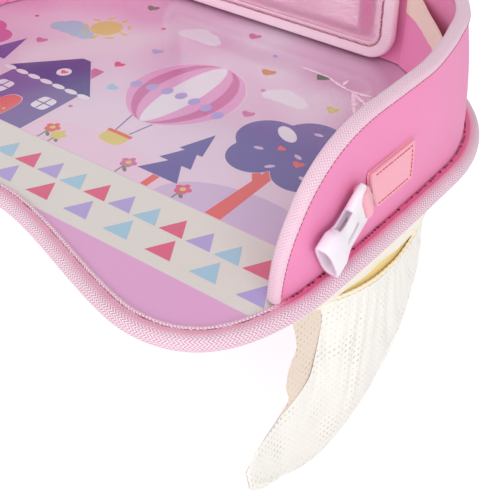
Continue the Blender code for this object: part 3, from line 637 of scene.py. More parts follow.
def heart(x, y, size, turn=0.0):
    angle = angles(40)
    tall = (13 * np.cos(angle) - 5 * np.cos(2 * angle) - 2 * np.cos(3 * angle)) / 16
    return turned(size * join(np.sin(angle) ** 3, tall), turn, x, y)


# %% Two rows of triangles on the band
BASE, BAND_HALF = 0.016332, 0.182
for row_start, row_y, width, height, pitch, colours in (
        (0.0, -5.575, 1.0, 0.866, 1.142, ("rose", "lilac", "sky")),
        (1.763, -6.679, 1.059, 0.917, 1.822, ("rose", "lilac", "sky", "rose", "sky", "lilac"))):
    for number in range(-12, 13):
        x = (row_start + number * pitch - 1) * BASE
        y = row_y * BASE - 0.00205
        if abs(x + width * BASE / 2) < BAND_HALF:
            corners = [(x, y), (x + width * BASE, y), (x + width * BASE / 2, y + height * BASE)]
            ink(corners, colours[number % len(colours)])
print("triangles:", len(ink_shapes))

# %% Outlines that the figures share
GROUND_Y = -0.0680


def blob(x, y, size, circles):
    """Outline round overlapping circles, seen from the point (x, y) inside them all.

    Each circle has a place and a radius, as shares of size.
    """
    angle = angles(120)
    reach = np.zeros(len(angle))
    for shift_x, shift_y, radius in np.array(circles) * size:
        along = shift_x * np.cos(angle) + shift_y * np.sin(angle)
        inside = radius ** 2 - (shift_x ** 2 + shift_y ** 2 - along ** 2)
        hit = along + np.sqrt(np.maximum(inside, 0))
        reach = np.maximum(reach, np.where(inside > 0, hit, 0))
    return join(x + reach * np.cos(angle), y + reach * np.sin(angle))


def bar(first, last, width, end_width=None):
    """A straight stroke between two points, as wide at its end as end_width says."""
    first, last = np.array(first, float), np.array(last, float)
    heading = unit(last - first)
    side = np.array((-heading[1], heading[0])) / 2
    end = width if end_width is None else end_width
    return [first - side * width, first + side * width, last + side * end, last - side * end]


def hill(x, half_width, height, colour, layer):
    turn = np.linspace(0, math.pi, 40)
    ink(join(x + half_width * np.cos(turn), GROUND_Y + height * np.sin(turn)), colour, layer)


# %% Trees and flowers
def cloud_tree(x, height, size, crown, trunk):
    y = GROUND_Y + height
    ink(bar((x, GROUND_Y), (x + 0.002, y), 0.011, 0.006), trunk, 1, RIM)
    ink(bar((x, GROUND_Y + height * 0.55), (x - size * 0.55, y - size * 0.2), 0.006, 0.003),
        trunk, 1.2)
    ink(blob(x, y, size, [(0, 0.55, 0.55), (0.62, 0.28, 0.5), (-0.62, 0.25, 0.52),
                          (0.42, -0.28, 0.5), (-0.45, -0.3, 0.48)]), crown, 2, WIDE_RIM)
    ink(oval(x - size * 0.42, y + size * 0.50, size * 0.26, size * 0.13, -0.6), "cream", 3)
    for shift_x, shift_y, turn in ((0.35, 0.45, 0.5), (0.1, 0.05, -0.4), (0.62, 0.05, 0.9),
                                   (-0.55, -0.1, 0.2), (-0.1, -0.42, 0.8), (0.5, -0.4, -0.2),
                                   (0.0, 0.78, 0.1)):
        ink(oval(x + shift_x * size, y + shift_y * size, size * 0.085, size * 0.04, turn),
            "haze", 3)
    ink(heart(x + size * 0.22, y - size * 0.12, size * 0.10, 0.2), "coral", 3.5)
    ink(heart(x - size * 0.25, y + size * 0.10, size * 0.08, -0.3), "coral", 3.5)


def fir_tree(x, height, width):
    ink(bar((x, GROUND_Y), (x, GROUND_Y + height * 0.3), 0.005), "coral", 1, RIM)
    for level, share in ((0.18, 1.0), (0.42, 0.8), (0.64, 0.58)):
        low = GROUND_Y + height * level
        half = width * share / 2
        ink([(x - half, low), (x + half, low), (x, low + height * 0.36)], "indigo",
            1.4 + level, RIM)


def petals(x, y, count, reach, first, half_width, half_height, colour, layer):
    """Small ovals in a ring, as the petals of a flower or the rays of a sun."""
    for number in range(count):
        turn = number * 2 * math.pi / count + first
        ink(oval(x + reach * math.cos(turn), y + reach * math.sin(turn), half_width,
                 half_height, -turn), colour, layer)


def flower(x, height, petal):
    y = GROUND_Y + height
    ink(bar((x, GROUND_Y), (x, y), 0.0011), "green", 1)
    ink(oval(x + 0.0028, GROUND_Y + height * 0.45, 0.0028, 0.0012, -0.7), "green", 1.1)
    petals(x, y, 5, 0.0032, 0.3, 0.0024, 0.0019, petal, 2)
    ink(oval(x, y, 0.0018, 0.0018), "yellow", 3)


# %% A house and a balloon
def house(x, width, height, wall, roof):
    half, eaves = width / 2, GROUND_Y + height
    ink([(x - half, GROUND_Y), (x + half, GROUND_Y), (x + half, eaves), (x - half, eaves)],
        wall, 2, WIDE_RIM)
    ink(bar((x + half * 0.55, eaves), (x + half * 0.55, eaves + height * 0.62), 0.009),
        "deep", 2.2, RIM)
    ink([(x - half * 1.3, eaves - 0.001), (x + half * 1.3, eaves - 0.001),
         (x + half * 0.12, eaves + height * 0.72), (x - half * 0.12, eaves + height * 0.72)],
        roof, 3, WIDE_RIM)
    for number in range(7):
        ink(oval(x + half * 1.3 * (number - 3) / 3.5, eaves - 0.0008, half * 0.17, 0.0024),
            "cream", 4)
    door = oval(x, GROUND_Y + height * 0.22, width * 0.13, height * 0.30, power=0.75)
    ink(np.maximum(door, (-9, GROUND_Y)), "coral", 3, RIM)
    ink(oval(x + width * 0.07, GROUND_Y + height * 0.20, 0.0011, 0.0011), "yellow", 4)
    for side in (-1, 1):
        middle = np.array((x + side * width * 0.32, GROUND_Y + height * 0.58))
        ink(oval(*middle, width * 0.105, height * 0.14, power=0.5), "cream", 3)
        for reach in ((width * 0.1, 0), (0, height * 0.13)):
            ink(bar(middle - reach, middle + reach, 0.0011), wall, 4)
    ink(oval(x, eaves + height * 0.30, height * 0.10, height * 0.10), "cream", 4)
    ink(heart(x, eaves + height * 0.30, height * 0.055), "rose", 5)


def balloon(x, y, radius):
    turn = angles(90)
    pinch = 1 - 0.22 * np.clip(-np.sin(turn), 0, 1) ** 2.5
    for shift in (-0.45, 0.45):
        ink(bar((x + shift * radius * 0.55, y - radius * 1.02),
                (x + shift * radius * 0.28, y - radius * 1.62), 0.0009), "violet", 1.5)
    for share, colour, layer, rim in ((1, "pink", 2, WIDE_RIM), (0.80, "deep", 2.4, 0),
                                      (0.56, "pink", 2.8, 0), (0.30, "cream", 3.2, 0)):
        ink(join(x + radius * share * np.cos(turn) * pinch, y + radius * 1.12 * np.sin(turn)),
            colour, layer, rim)
    for number in range(-3, 4):
        ink(oval(x + radius * 0.30 * number, y - radius * 0.10 - number ** 2 * 0.0006,
                 radius * 0.10, radius * 0.12), "lilac", 4)
    ink(oval(x, y - radius * 1.75, radius * 0.24, radius * 0.19, power=0.6), "yellow", 2, RIM)
    ink(bar((x - radius * 0.25, y - radius * 1.62), (x + radius * 0.25, y - radius * 1.62),
            0.0028), "coral", 3)


# %% Lay the figures out
for hill_size in ((-0.120, 0.058, 0.034, "haze", 0.15), (0.012, 0.070, 0.026, "pale", 0.3),
                  (0.125, 0.055, 0.030, "haze", 0.45)):
    hill(*hill_size)
house(-0.070, 0.062, 0.052, "violet", "night")
balloon(0.014, 0.026, 0.038)
fir_tree(0.062, 0.066, 0.030)
cloud_tree(0.112, 0.074, 0.038, "indigo", "coral")
fir_tree(-0.128, 0.088, 0.038)
cloud_tree(-0.164, 0.070, 0.024, "deep", "violet")
for x, height, colour in ((-0.024, 0.013, "coral"), (-0.015, 0.009, "yellow"),
                          (0.040, 0.012, "deep"), (0.083, 0.010, "rose"),
                          (-0.105, 0.012, "yellow")):
    flower(x, height, colour)
petals(-0.094, 0.066, 9, 0.0165, 0.0, 0.0036, 0.0014, "yellow", 1)
ink(oval(-0.094, 0.066, 0.0118, 0.0118), "yellow", 2, RIM)
for x, y, size, colour in ((-0.112, 0.050, 0.014, "sky"), (-0.030, 0.096, 0.013, "cream"),
                           (0.070, 0.060, 0.012, "cream"), (-0.168, 0.094, 0.013, "cream")):
    ink(blob(x, y, size, [(-0.9, -0.1, 0.5), (-0.3, 0.15, 0.72), (0.45, 0.05, 0.62),
                          (1.0, -0.12, 0.42)]), colour, 0.6)
for x, y, size, colour, turn in (
        (0.040, 0.082, 0.0052, "orange", 0.2), (0.073, 0.098, 0.0052, "green", -0.2),
        (0.102, 0.066, 0.0048, "yellow", 0.1), (-0.040, 0.060, 0.0045, "lilac", 0.3),
        (-0.030, 0.004, 0.0046, "sky", -0.3), (0.062, 0.030, 0.0046, "deep", 0.2),
        (0.140, 0.040, 0.0046, "deep", 0.4), (-0.140, 0.118, 0.0055, "rose", 0.0),
        (0.158, 0.020, 0.0045, "orange", -0.4), (0.000, 0.120, 0.0050, "deep", 0.1),
        (-0.090, 0.112, 0.0050, "green", 0.2), (-0.048, 0.030, 0.0042, "rose", 0.0),
        (-0.118, 0.024, 0.0046, "deep", 0.2), (0.118, 0.096, 0.0046, "rose", -0.2)):
    ink(heart(x, y, size, turn), colour, 1, 0.0004)
for x, y, size, colour in ((0.052, 0.060, 0.0016, "deep"), (-0.060, 0.090, 0.0018, "rose"),
                           (0.070, 0.008, 0.0016, "yellow"), (-0.020, 0.066, 0.0015, "sky"),
                           (0.030, 0.104, 0.0017, "lilac"), (-0.150, 0.050, 0.0018, "rose"),
                           (0.150, 0.066, 0.0016, "sky"), (-0.034, -0.030, 0.0015, "deep")):
    ink(oval(x, y, size, size), colour)

# %% Put the ink on the cloth
work = bmesh.new()
dye = work.loops.layers.float_color.new("ink")
metres = work.loops.layers.uv.new("metres")
for number, (points, colour, layer) in enumerate(ink_shapes):
    level = PRINT_TOP + 0.00002 + 0.00003 * layer + 6e-7 * (number % 12)
    face = work.faces.new([work.verts.new((x, y, level)) for x, y in points])
    face.normal_update()
    if face.normal.z < 0:
        face.normal_flip()
    for loop in face.loops:
        loop[dye] = colour
        loop[metres].uv = loop.vert.co.xy


def object_from(work, name):
    """Turn a work mesh into an object of the scene."""
    mesh = bpy.data.meshes.new(name)
    work.to_mesh(mesh)
    work.free()
    return show(name, mesh)


figures = object_from(work, "print_figures")
figures.data.materials.append(finish_print("print_ink", lambda tree: add_node(
    tree, "ShaderNodeAttribute", attribute_name="ink")))
place(figures, "tray", "print")
print("ink shapes:", len(ink_shapes))

# %% [markdown]
# ## The clear film
#
# The film lies over the print. Glass-like transmission would darken the print under it,
# because light through a bent surface is hard to trace. A mirror finish that is only as
# opaque as clear plastic is reflective does the same: it lets the rest of the light
# through, and reflects more at a shallow angle. Only its outer face counts.

# %% Clear film
def clear_finish(name, roughness, gloss, haze, scale, bump):
    """gloss multiplies the reflection, and haze is the share of the view it always takes."""
    material, tree, shader = start_finish(name, roughness, {
        "Base Color": (1, 1, 1, 1), "Metallic": 1.0})
    fresnel = add_node(tree, "ShaderNodeFresnel", {"IOR": 1.5})
    back = add_node(tree, "ShaderNodeNewGeometry", out="Backfacing")
    feed(shader, {"Alpha": (fresnel * gloss + haze) * (1.0 - back),
                  "Normal": bumps(noise(tree, scale, 2.0), bump)})
    return material


flat_sheet("film_over_print", FACE, clear_finish("clear_film", 0.16, 1.3, 0.0, 40.0, 0.0001),
           "film", "clear_film", FACE - FILM_BOTTOM - 0.0001)

# %% [markdown]
# Where clear film has been bent sharply, the crease catches the light and looks pale. A few
# such creases meet near the right rear. They are strips just over the film, painted pale
# with a faint glow as painted highlights. They get narrow and see-through at their ends and
# sides, because a crease fades where the bend was softer.

# %% Creases in the film, with painted highlights
# The pale colour and the faint glow of the creases are painted highlights.
crease_highlight, tree, shader = start_finish("film_crease_highlight", 0.5, {
    "Base Color": srgb(252, 232, 244), "Specular IOR Level": 0.2,
    "Emission Color": srgb(255, 208, 232), "Emission Strength": 0.24})
where = place_in_mm(tree)
feed(shader, {"Alpha": (1.0 - abs(split(where)[1]) ** 2.0)
              * (spread(noise(tree, 0.35, 1.0, where), 0.2, 0.45) * 0.7)})
CREASES = (((0.0985, 0.0926), (0.1139, 0.0941), -0.0006, 0.0018),
           ((0.1004, 0.0908), (0.1178, 0.0821), 0.0004, 0.0015),
           ((0.1005, 0.0917), (0.1174, 0.0671), 0.0003, 0.0014),
           ((0.091, 0.0953), (0.0898, 0.1039), 0.0005, 0.0012),
           ((0.0775, 0.0992), (0.1, 0.0921), -0.001, 0.0012),
           ((0.0534, 0.1001), (0.0809, 0.0988), 0.0006, 0.001))
for number, (first, last, bow, width) in enumerate(CREASES):
    t = np.linspace(0, 1, 24)
    first, last = np.array(first), np.array(last)
    heading = unit(last - first)
    normal = np.array((-heading[1], heading[0]))
    middle = first + (last - first) * t[:, None] + normal * (bow * np.sin(math.pi * t))[:, None]
    wide = 3.3 * width * np.sin(math.pi * t) ** 0.5 * (0.9 + 0.1 * np.sin(t * 23 + number))
    across = np.linspace(-0.5, 0.5, 7)
    plan = middle[:, None] + normal * (wide[:, None] * across)[..., None]
    grid_object(f"film_crease_highlight_{number}",
                (plan[..., 0], plan[..., 1], FACE + 0.00005 * (number + 1)),
                (distances(middle)[:, None], across * 0.002), crease_highlight, ("tray", "film"))

# %% [markdown]
# ## Stitches
#
# A row of machine stitches is a line of short threads that dip into the cloth at each
# needle hole. A bump texture could fake it, but real threads catch the light and cast
# their small shadows. One function lays a whole row along any path, with slightly
# uneven holes shown as small dark discs of painted shade, and builds it as a single mesh.

# %% Lay a row of stitches
def stitch_row(name, path, up, body, thread, pitch=0.003, fill=0.72, radius=0.00026,
               holes=0.00035, some=1.0, seed=1, slot="tape", side=1):
    """up points out of the cloth, fill is the thread's share of the pitch, holes is the size of
    the dark discs of painted shade in the needle holes, and some is the share of these that show."""
    path = np.asarray(path, float) * (side, 1, 1)
    up = np.broadcast_to(np.asarray(up, float), path.shape) * (side, 1, 1)
    run = distances(path)
    chance = np.random.RandomState(seed)
    count = max(int(run[-1] / pitch), 1)
    starts = (np.arange(count) + chance.uniform(0.0, 0.12, count)) * pitch
    turn = angles(6)[:, None]

    def frame_at(length):
        """The place, the way out of the cloth, along the row and across it."""
        normal = unit(walk(up, run, length))
        along = unit(walk(path, run, length + 2e-4) - walk(path, run, length - 2e-4))
        return [item[..., None, :] for item in (
            walk(path, run, length), normal, along, np.cross(normal, along))]

    lift = np.array([-0.9, 0.35, 0.7, 0.35, -0.9])[:, None, None] * radius
    thick = np.array([0.55, 1, 1.1, 1, 0.55])[:, None, None] * radius
    spot, normal, _, across = frame_at(
        starts[:, None] + np.array([0, 0.2, 0.5, 0.8, 1]) * fill * pitch)
    rings = spot + normal * lift + thick * (across * np.cos(turn) + normal * np.sin(turn))
    points = rings.reshape(-1, 3)
    base = np.arange(count)[:, None, None] * 30 + np.arange(4)[None, :, None] * 6
    here, after = base + np.arange(6), base + (np.arange(6) + 1) % 6
    faces = np.stack([here, after, after + 6, here + 6], -1).reshape(-1, 4).tolist()
    marks = [0] * len(faces)
    # Small dark discs just over the cloth are painted shade in the needle holes.
    if holes:
        middle = (starts - (1 - fill) * pitch / 2).clip(0)[chance.uniform(0, 1, count) < some]
        spot, normal, along, across = frame_at(middle)
        size = holes * chance.uniform(0.5, 1.5, len(middle))[:, None, None]
        spots = spot + normal * 0.00006 + size * (
            along * np.cos(turn) * 1.3 + across * np.sin(turn))
        hexagons = (len(points) + np.arange(len(middle) * 6).reshape(-1, 6)).tolist()
        points = np.vstack((points, spots.reshape(-1, 3)))
        faces += hexagons
        marks += [1] * len(hexagons)
    mesh = bpy.data.meshes.new(name)
    mesh.from_pydata(points.tolist(), [], faces)
    mesh.uv_layers.new(name="metres")
    mesh.materials.append(thread)
    mesh.materials.append(needle_hole_shade)
    mesh.polygons.foreach_set("material_index", marks)
    mesh.shade_smooth()
    place(show(name, mesh), body, slot)


# %% [markdown]
# ## The ribbed tape round the edge
#
# A tape is folded over the edge of all the layers and sewn through. Its outer fold is
# round and shows its zigzag ribs, its upper leg lies flat, sinks along the stitches and
# ends in a small raised hem. A curve with a bevel would give a plain tube, so the section
# is drawn point by point and swept round the plan.

# %% Section of a folded tape
TAPE, GAP = 0.0009, 0.0003


def folded_tape(low, high, roll, steps, low_leg, high_leg, leg, core):
    """Section of a tape that is folded between two levels, as rows of (depth, level).

    The fold is roll deep, the legs end at the depth leg, and the inside starts at core.
    """
    turn = np.linspace(-math.pi / 2, math.pi / 2, steps)
    fold = join(roll * (1 - np.cos(turn)), (low + high) / 2 + (high - low) / 2 * np.sin(turn))
    inside = [(leg, high - TAPE), (core, high - TAPE), (core, low + TAPE), (leg, low + TAPE),
              (leg, low)]
    return np.vstack((low_leg, fold, high_leg, inside))


def mound(depths, middle, width, height):
    """A soft swelling across a tape, or a groove where height is under 0."""
    return height * np.exp(-((depths - middle) / width) ** 2)


# %% Finish of the edge tape
TAPE_LEG, TAPE_ROLL = 0.0102, 0.0035
TAPE_LOW, TAPE_HIGH = -GAP - TAPE, FACE + GAP + TAPE
STITCH_INSET = 0.0080
WALL_START = float(length_at_y(-0.111))
legs = np.linspace(TAPE_ROLL, TAPE_LEG, 16)[1:]
section = folded_tape(
    TAPE_LOW, TAPE_HIGH, TAPE_ROLL, 15, join([TAPE_LEG, 0.0080, 0.0055], TAPE_LOW),
    join(legs, TAPE_HIGH + mound(legs, STITCH_INSET, 0.0005, -0.0004)
         + mound(legs, 0.0093, 0.0007, 0.0004) + mound(legs, 0.0052, 0.0018, 0.0003)),
    TAPE_LEG, LAYER_INSET - GAP)
LEG_START = float(np.interp(0.0076, section[18:33, 0], distances(section)[18:33])) * 1000


def edge_tape_finish():
    """Pale ribs with painted shade between them, satin beside them, and painted shade in deep pink
    on the leg along the wall.
    """
    material, tree, shader = start_finish("edge_tape", 0.8, {
        "Sheen Weight": 0.3, "Sheen Roughness": 0.4, "Specular IOR Level": 0.4})
    height = weave_height(tree, zigzag, {"Line mm": 2.2, "Row mm": 2.8})
    along, over = split(place_in_mm(tree))
    start, end = WALL_START * 1000, (2 * HALF - WALL_START) * 1000
    satin = (spread(over, LEG_START - 5.0, LEG_START - 2.5)
             * spread(over, LEG_START + 0.4, LEG_START - 0.4))
    # Painted shade: the leg along the wall is coloured deep pink where the wall shades it.
    leg = (spread(over, LEG_START - 2.2, LEG_START - 0.9)
           * (spread(along, start - 6, start + 12) * spread(along, end + 6, end - 12)))
    # The dark colour between the ribs is painted shade.
    ribbed = blend_colours(height, srgb(184, 104, 146), srgb(255, 232, 242))
    front = blend_colours(satin * 0.75, ribbed, srgb(240, 162, 190))
    colour = blend_colours(leg, front, srgb(236, 112, 160))
    feed(shader, {"Base Color": vary(tree, colour, 0.10, 0.10), "Normal": bumps(height, 0.0002),
                  "Roughness": spread(satin, 2.4, -0.6)})
    return material


# %% Sweep the edge tape
stations = np.linspace(0, 2 * HALF, 901)
inset, level = section[None, :, 0], section[None, :, 1]
by_wall = smooth((np.minimum(stations, 2 * HALF - stations) - WALL_START + 0.004) / 0.016)[:, None]
sloped = TAPE_HIGH + 0.0003 - 0.0007 * smooth((inset - 0.0052) / 0.0035)
on_leg = (inset > 0.0052) & (level > TAPE_HIGH - 0.0006)
ripple = 0.00012 * np.sin(stations * 2 * math.pi / 0.031) + 0.0001 * np.sin(stations * 431)
height = (np.where(on_leg, level * (1 - by_wall) + sloped * by_wall, level)
          + ripple[:, None] * (inset < 0.0085) * (level > 0.004))
grid_object("edge_tape", (*on_edge(stations[:, None], inset + 0 * stations[:, None]), height),
            (stations[:, None], distances(section)), edge_tape_finish(),
            ("tray", "tape", "edge_binding"), closed=True)

# %% Sew the edge tape
def edge_row(inset, level):
    return join(*on_edge(stations, inset), level)


wander = 0.00012 * np.sin(stations * 190) + 0.0001 * np.sin(stations * 517)
row = edge_row(STITCH_INSET + wander, TAPE_HIGH - 0.0003)
overlock = edge_row(0.0096 + 0.0005 * np.sin(stations * 2 * math.pi / 0.0035), TAPE_HIGH + 0.0003)
before, after = stations < WALL_START, stations > 2 * HALF - WALL_START
for number, part in enumerate((before, after)):
    stitch_row(f"edge_stitches_{number}", row[part], (0, 0, 1), "tray", thread_cloth,
               pitch=0.0031, fill=0.86, radius=0.00018, holes=0.00034, some=0.3, seed=3 + number)
    stitch_row(f"edge_overlock_{number}", overlock[part], (0, 0, 1), "tray", pale_thread,
               pitch=0.0018, fill=0.75, radius=0.00016, holes=0, seed=10 + number)
by_wall = abs(stations - HALF) <= HALF - WALL_START - 0.006
stitch_row("edge_stitches_by_wall", edge_row(0.0092 + wander, TAPE_HIGH - 0.0003)[by_wall],
           (0, 0, 1), "tray", thread_cloth, pitch=0.0029, fill=0.62, radius=0.00032,
           holes=0.0006, some=0.7, seed=8)
stitch_row("edge_stitches_below", edge_row(STITCH_INSET, TAPE_LOW), (0, 0, -1), "tray",
           thread_cloth, pitch=0.0031, seed=4)

# %% [markdown]
# ## The soft wall
#
# The wall is a foam strip between two skins. It rises steeply at each front end, bulges
# a little at half height, and leans inwards round the rear corners. Its places follow
# from three numbers: the distance along the edge, the height and the inset.

# %% Places in the wall
WALL_INSET, SKIN, INNER_FACE = 0.0106, 0.0008, 0.0158
WALL_FOOT, WALL_TOP = FACE + GAP, FACE + 0.079
RISE_RUN, RISE_POWER = 0.084, 2.4


def wall_lean(length):
    length = np.minimum(length, 2 * HALF - length)
    rise = (length - CORNER_START + 0.038) / 0.063
    fall = (CORNER_END - 0.018 - length) / 0.052
    return 0.008 * smooth(np.minimum(rise, fall))


def in_wall(length, height, inset):
    length, height, inset = np.broadcast_arrays(length, height, inset)
    share = (height - WALL_FOOT) / (WALL_TOP - WALL_FOOT)
    bulge = 0.002 * np.sin(math.pi * np.clip(share, 0, 1))
    return join(*on_edge(length, inset + wall_lean(length) * share - bulge), height)


def top_line(shrink, step):
    """The wall's upper edge as (distance along the edge, height), from end to end."""
    turns = np.linspace(0, math.pi / 2, 60)[:-1]
    power = 2 / RISE_POWER
    run, rise = RISE_RUN - shrink, WALL_TOP - WALL_FOOT - shrink
    front = join(WALL_START + RISE_RUN - run * np.cos(turns) ** power,
                 WALL_FOOT + rise * np.sin(turns) ** power)
    flat = join(np.arange(WALL_START + RISE_RUN, HALF, 0.004), WALL_FOOT + rise)
    right = np.vstack((front, flat))
    whole = np.vstack((right, [(HALF, WALL_FOOT + rise)], (right * (-1, 1))[::-1] + (2 * HALF, 0)))
    run = distances(whole)
    even = np.linspace(0, run[-1], int(run[-1] / step))
    return walk(whole, run, even), even


def wall_skin(name, inset, outwards, node):
    line = top_line(GAP + TAPE, 0.003)[0][1:-1]
    shares = np.linspace(0, 1, 24)
    height = WALL_FOOT + (line[:, 1:] - WALL_FOOT) * shares
    length = line[:, :1] + 0 * shares
    soft = 0.00035 * np.sin(length * 55 + height * 20) * np.sin(height * 70 + 1.0)
    soft = (soft + (-0.0003 if outwards else 0.0006)) * np.sin(math.pi * shares) ** 0.5
    places, metres = in_wall(length, height, inset + soft), join(length, height)
    if not outwards:
        places, metres = places[:, ::-1], metres[:, ::-1]
    item = grid_object(name, places, metres, skin_cloth, ("tray", "skin", node),
                       thickness=SKIN - 0.0002)
    area = float(np.sum(np.diff(line[:, 0]) * (line[1:, 1] + line[:-1, 1] - 2 * WALL_FOOT) / 2))
    flat = (WALL_TOP - WALL_FOOT, float(line[-1, 0] - line[0, 0]))
    print(f"{name}: cut {flat[1] * 1000:.0f} x {flat[0] * 1000:.0f} mm")


wall_skin("wall_outside", WALL_INSET, True, "wall_outer_skin")
wall_skin("wall_inside", INNER_FACE, False, "wall_inner_skin")

# %% [markdown]
# ## The tape over the wall
#
# A paler tape is folded over the wall's top line and sewn down on both sides. It is a
# sweep as well: at every point of the line the section is turned so that its legs hang
# into the wall, also where the line falls steeply at the front.

# %% Sweep the top tape
TOP_LEG, TOP_ROLL = 0.0042, 0.0016
OUTER, INNER = WALL_INSET - GAP - TAPE, INNER_FACE + GAP + TAPE
line, travelled = top_line(0, 0.0022)
line[[0, -1], 1] = TAPE_HIGH + GAP
travel = unit(np.gradient(line, travelled, axis=0))
travel[0], travel[-1] = (0, 1), (0, -1)


def beside_top_line(depth, inset):
    return in_wall(line[:, :1] + depth * travel[:, 1:], line[:, 1:] - depth * travel[:, :1], inset)


depths = np.linspace(TOP_ROLL, TOP_LEG, 8)[1:]
swell = 0.00035 * np.sin(math.pi * (depths - TOP_ROLL) / (TOP_LEG - TOP_ROLL))
section = folded_tape(OUTER, INNER, TOP_ROLL, 13, join(depths, OUTER - swell)[::-1],
                      join(depths, INNER + swell), TOP_LEG, TAPE)
grid_object("top_tape", beside_top_line(section[:, 0], section[:, 1]),
            (travelled[:, None], distances(section)), top_tape_cloth,
            ("tray", "tape", "wall_top_binding"), closed=True)
# These rows are real stitches, sewn almost without gaps so that they also give the painted shadow
# line in the crease along the tape's edges.
for name, level, seed in (("outer", OUTER - 0.0001, 5), ("inner", INNER + 0.0001, 6)):
    row, away = (beside_top_line(TOP_LEG - 0.0002, inset)[:, 0]
                 for inset in (level, level * 2 - 0.0132))
    stitch_row(f"top_tape_{name}_stitches", row[2:-2], unit(away - row)[2:-2], "tray",
               thread_cloth, pitch=0.0027, fill=0.93, radius=0.00026, holes=0, seed=seed)
print(f"top tape: {travelled[-1] * 1000:.0f} mm long")

# %% [markdown]
# ## Webbing tabs
#
# A short webbing is sewn flat to the wall, goes round the buckle's bar and comes back
# under itself. The tab could be a bent box, but then its loop would look stiff. Its
# rails across the webbing are placed one by one, on the wall first and then round the
# bar, so that it lies on the wall and wraps the bar without a kink.

# %% The webbing's way along the wall and round the bar
WEB_WIDTH, WEB, BAR_RADIUS = 0.025, 0.0012, 0.0021
UNDER, OVER = GAP + WEB / 2, GAP * 2 + WEB * 1.5
buckle_frame = Matrix(((0, -0.12187, 0.99255, 0.1952), (-0.85264, 0.5186, 0.06368, -0.05289),
                       (-0.5225, -0.84628, -0.10391, 0.043), (0, 0, 0, 1)))
rails = np.linspace(0, 1, 9)


def on_tab(share, rail, out):
    """A place out from the wall, from the tab's rear end (0) to its front end (1)."""
    rear, front = 0.0005 - 0.0025 * rail, -0.034 - 0.010 * rail
    return in_wall(length_at_y(rear + (front - rear) * share),
                   0.0398 + WEB_WIDTH * (rail - 0.5), WALL_INSET - out)


def in_buckle(along, out):
    """Points across the webbing, placed by the buckle's own axes."""
    turn = np.array(buckle_frame)
    return join(along, WEB_WIDTH * (rails - 0.5), out) @ turn[:3, :3].T + turn[:3, 3]


def tab_path(out):
    """Rows across one face of the webbing, which lies out from its middle."""
    reach, apart = BAR_RADIUS + UNDER + out, UNDER - GAP / 2
    sweep = math.pi / 2 + math.radians(27)
    shares = np.linspace(0, 1, 12)
    return np.array([on_tab(share, rails, OVER + out) for share in shares]
                    + [in_buckle(-0.005, apart + out)]
                    + [in_buckle(reach * math.cos(turn), reach * math.sin(turn))
                       for turn in np.linspace(sweep, -sweep, 15)]
                    + [in_buckle(-0.005, -apart - out)]
                    + [on_tab(share, rails, UNDER - out) for share in shares[::-1]])


def soften(rows, times):
    """Cut the corners of a path of rows, and keep its two ends."""
    for _ in range(times):
        between = np.stack((rows[:-1] * 0.75 + rows[1:] * 0.25,
                            rows[:-1] * 0.25 + rows[1:] * 0.75), 1)
        rows = np.concatenate((rows[:1], between.reshape(-1, *rows.shape[1:]), rows[-1:]))
    return rows


# %% Sew the tabs
outer_rows, inner_rows = (soften(tab_path(out), 3) for out in (WEB / 2, -WEB / 2))
ring = np.concatenate((outer_rows, inner_rows[:, ::-1], outer_rows[:, :1]), axis=1)
along = distances(outer_rows[:, 4])
box = np.array(((0.95, 0.09), (0.06, 0.09), (0.06, 0.91), (0.95, 0.91)))
for name, side in (("right", 1), ("left", -1)):
    grid_object(f"{name}_tab", ring, (along[:, None], distances(ring[0])), webbing_cloth,
                ("tray", "webbing", f"{name}_strap_tab"), side=side, closed=True)
    for number, (first, last) in enumerate(zip(box, box[1:])):
        share, rail = (first + (last - first) * np.linspace(0, 1, 14)[:, None]).T
        stitch_row(f"{name}_tab_stitches_{number}", on_tab(share, rail, OVER + WEB / 2 + 0.0001),
                   (1, 0, 0), "tray", coral_thread, pitch=0.0027, fill=0.66, radius=0.0003,
                   holes=0.0002, seed=20 + number, slot="webbing", side=side)
print(f"webbing: {along[-1] * 1000:.0f} mm long")

# %% [markdown]
# ## The buckles
#
# Each buckle is the female half of a side-release buckle, moulded in one piece: a bar
# end, a narrow waist with a window, and a flared head with an open mouth. Rings of
# rounded rectangles give the outside, and the socket, windows and slots are cut out with
# boolean tools. A small bevel then rounds the cut edges as a mould does.

# %% Rings of the buckle's outside
BUCKLE_LENGTH, BUCKLE_TAIL = 0.036, 0.0032
BUCKLE_PROFILE = ((0.0, -0.53, -0.30), (0.015, -0.74, -0.1), (0.04, -0.87, 0.0), (0.12, -0.97, 0.0),
                  (0.22, -1.0, 0.0), (0.28, -0.8, 0.1), (0.34, -0.5, 0.25), (0.42, -0.2, 0.4),
                  (0.50, 0.0, 0.5), (0.60, 0.07, 0.5), (0.65, 0.25, 0.62), (0.70, 0.5, 0.75),
                  (0.74, 0.76, 0.9), (0.78, 0.93, 1.0), (0.86, 0.99, 1.0), (0.97, 1.0, 1.0),
                  (0.99, 0.97, 0.94), (1.0, 0.93, 0.86))
WAIST_WIDTHS = (0.016, 0.0126, 0.018)


def rounded_ring(along, half_width, half_thickness):
    turn, power = angles(56), 2 / 3.2
    return join(along, half_width * signed_power(np.cos(turn), power),
                half_thickness * signed_power(np.sin(turn), power))


def solid_from_rings(name, rings):
    work = bmesh.new()
    rows = [[work.verts.new(point) for point in ring] for ring in rings]
    for ring, following in zip(rows, rows[1:]):
        for here in range(len(ring)):
            after = (here + 1) % len(ring)
            work.faces.new((ring[here], ring[after], following[after], following[here]))
    work.faces.new(rows[0])
    work.faces.new(rows[-1])
    bmesh.ops.recalc_face_normals(work, faces=work.faces)
    return object_from(work, name)


def rounded_slot(low, high, half_across, depth=0.02):
    """A cutter with rounded ends, from low to high along the buckle."""
    radius = min(half_across, (high - low) / 2) * 0.7
    x, y = rounded_rectangle(low, high, -half_across, half_across, radius, 6).T
    return [join(x, y, z) for z in (-depth, depth)]


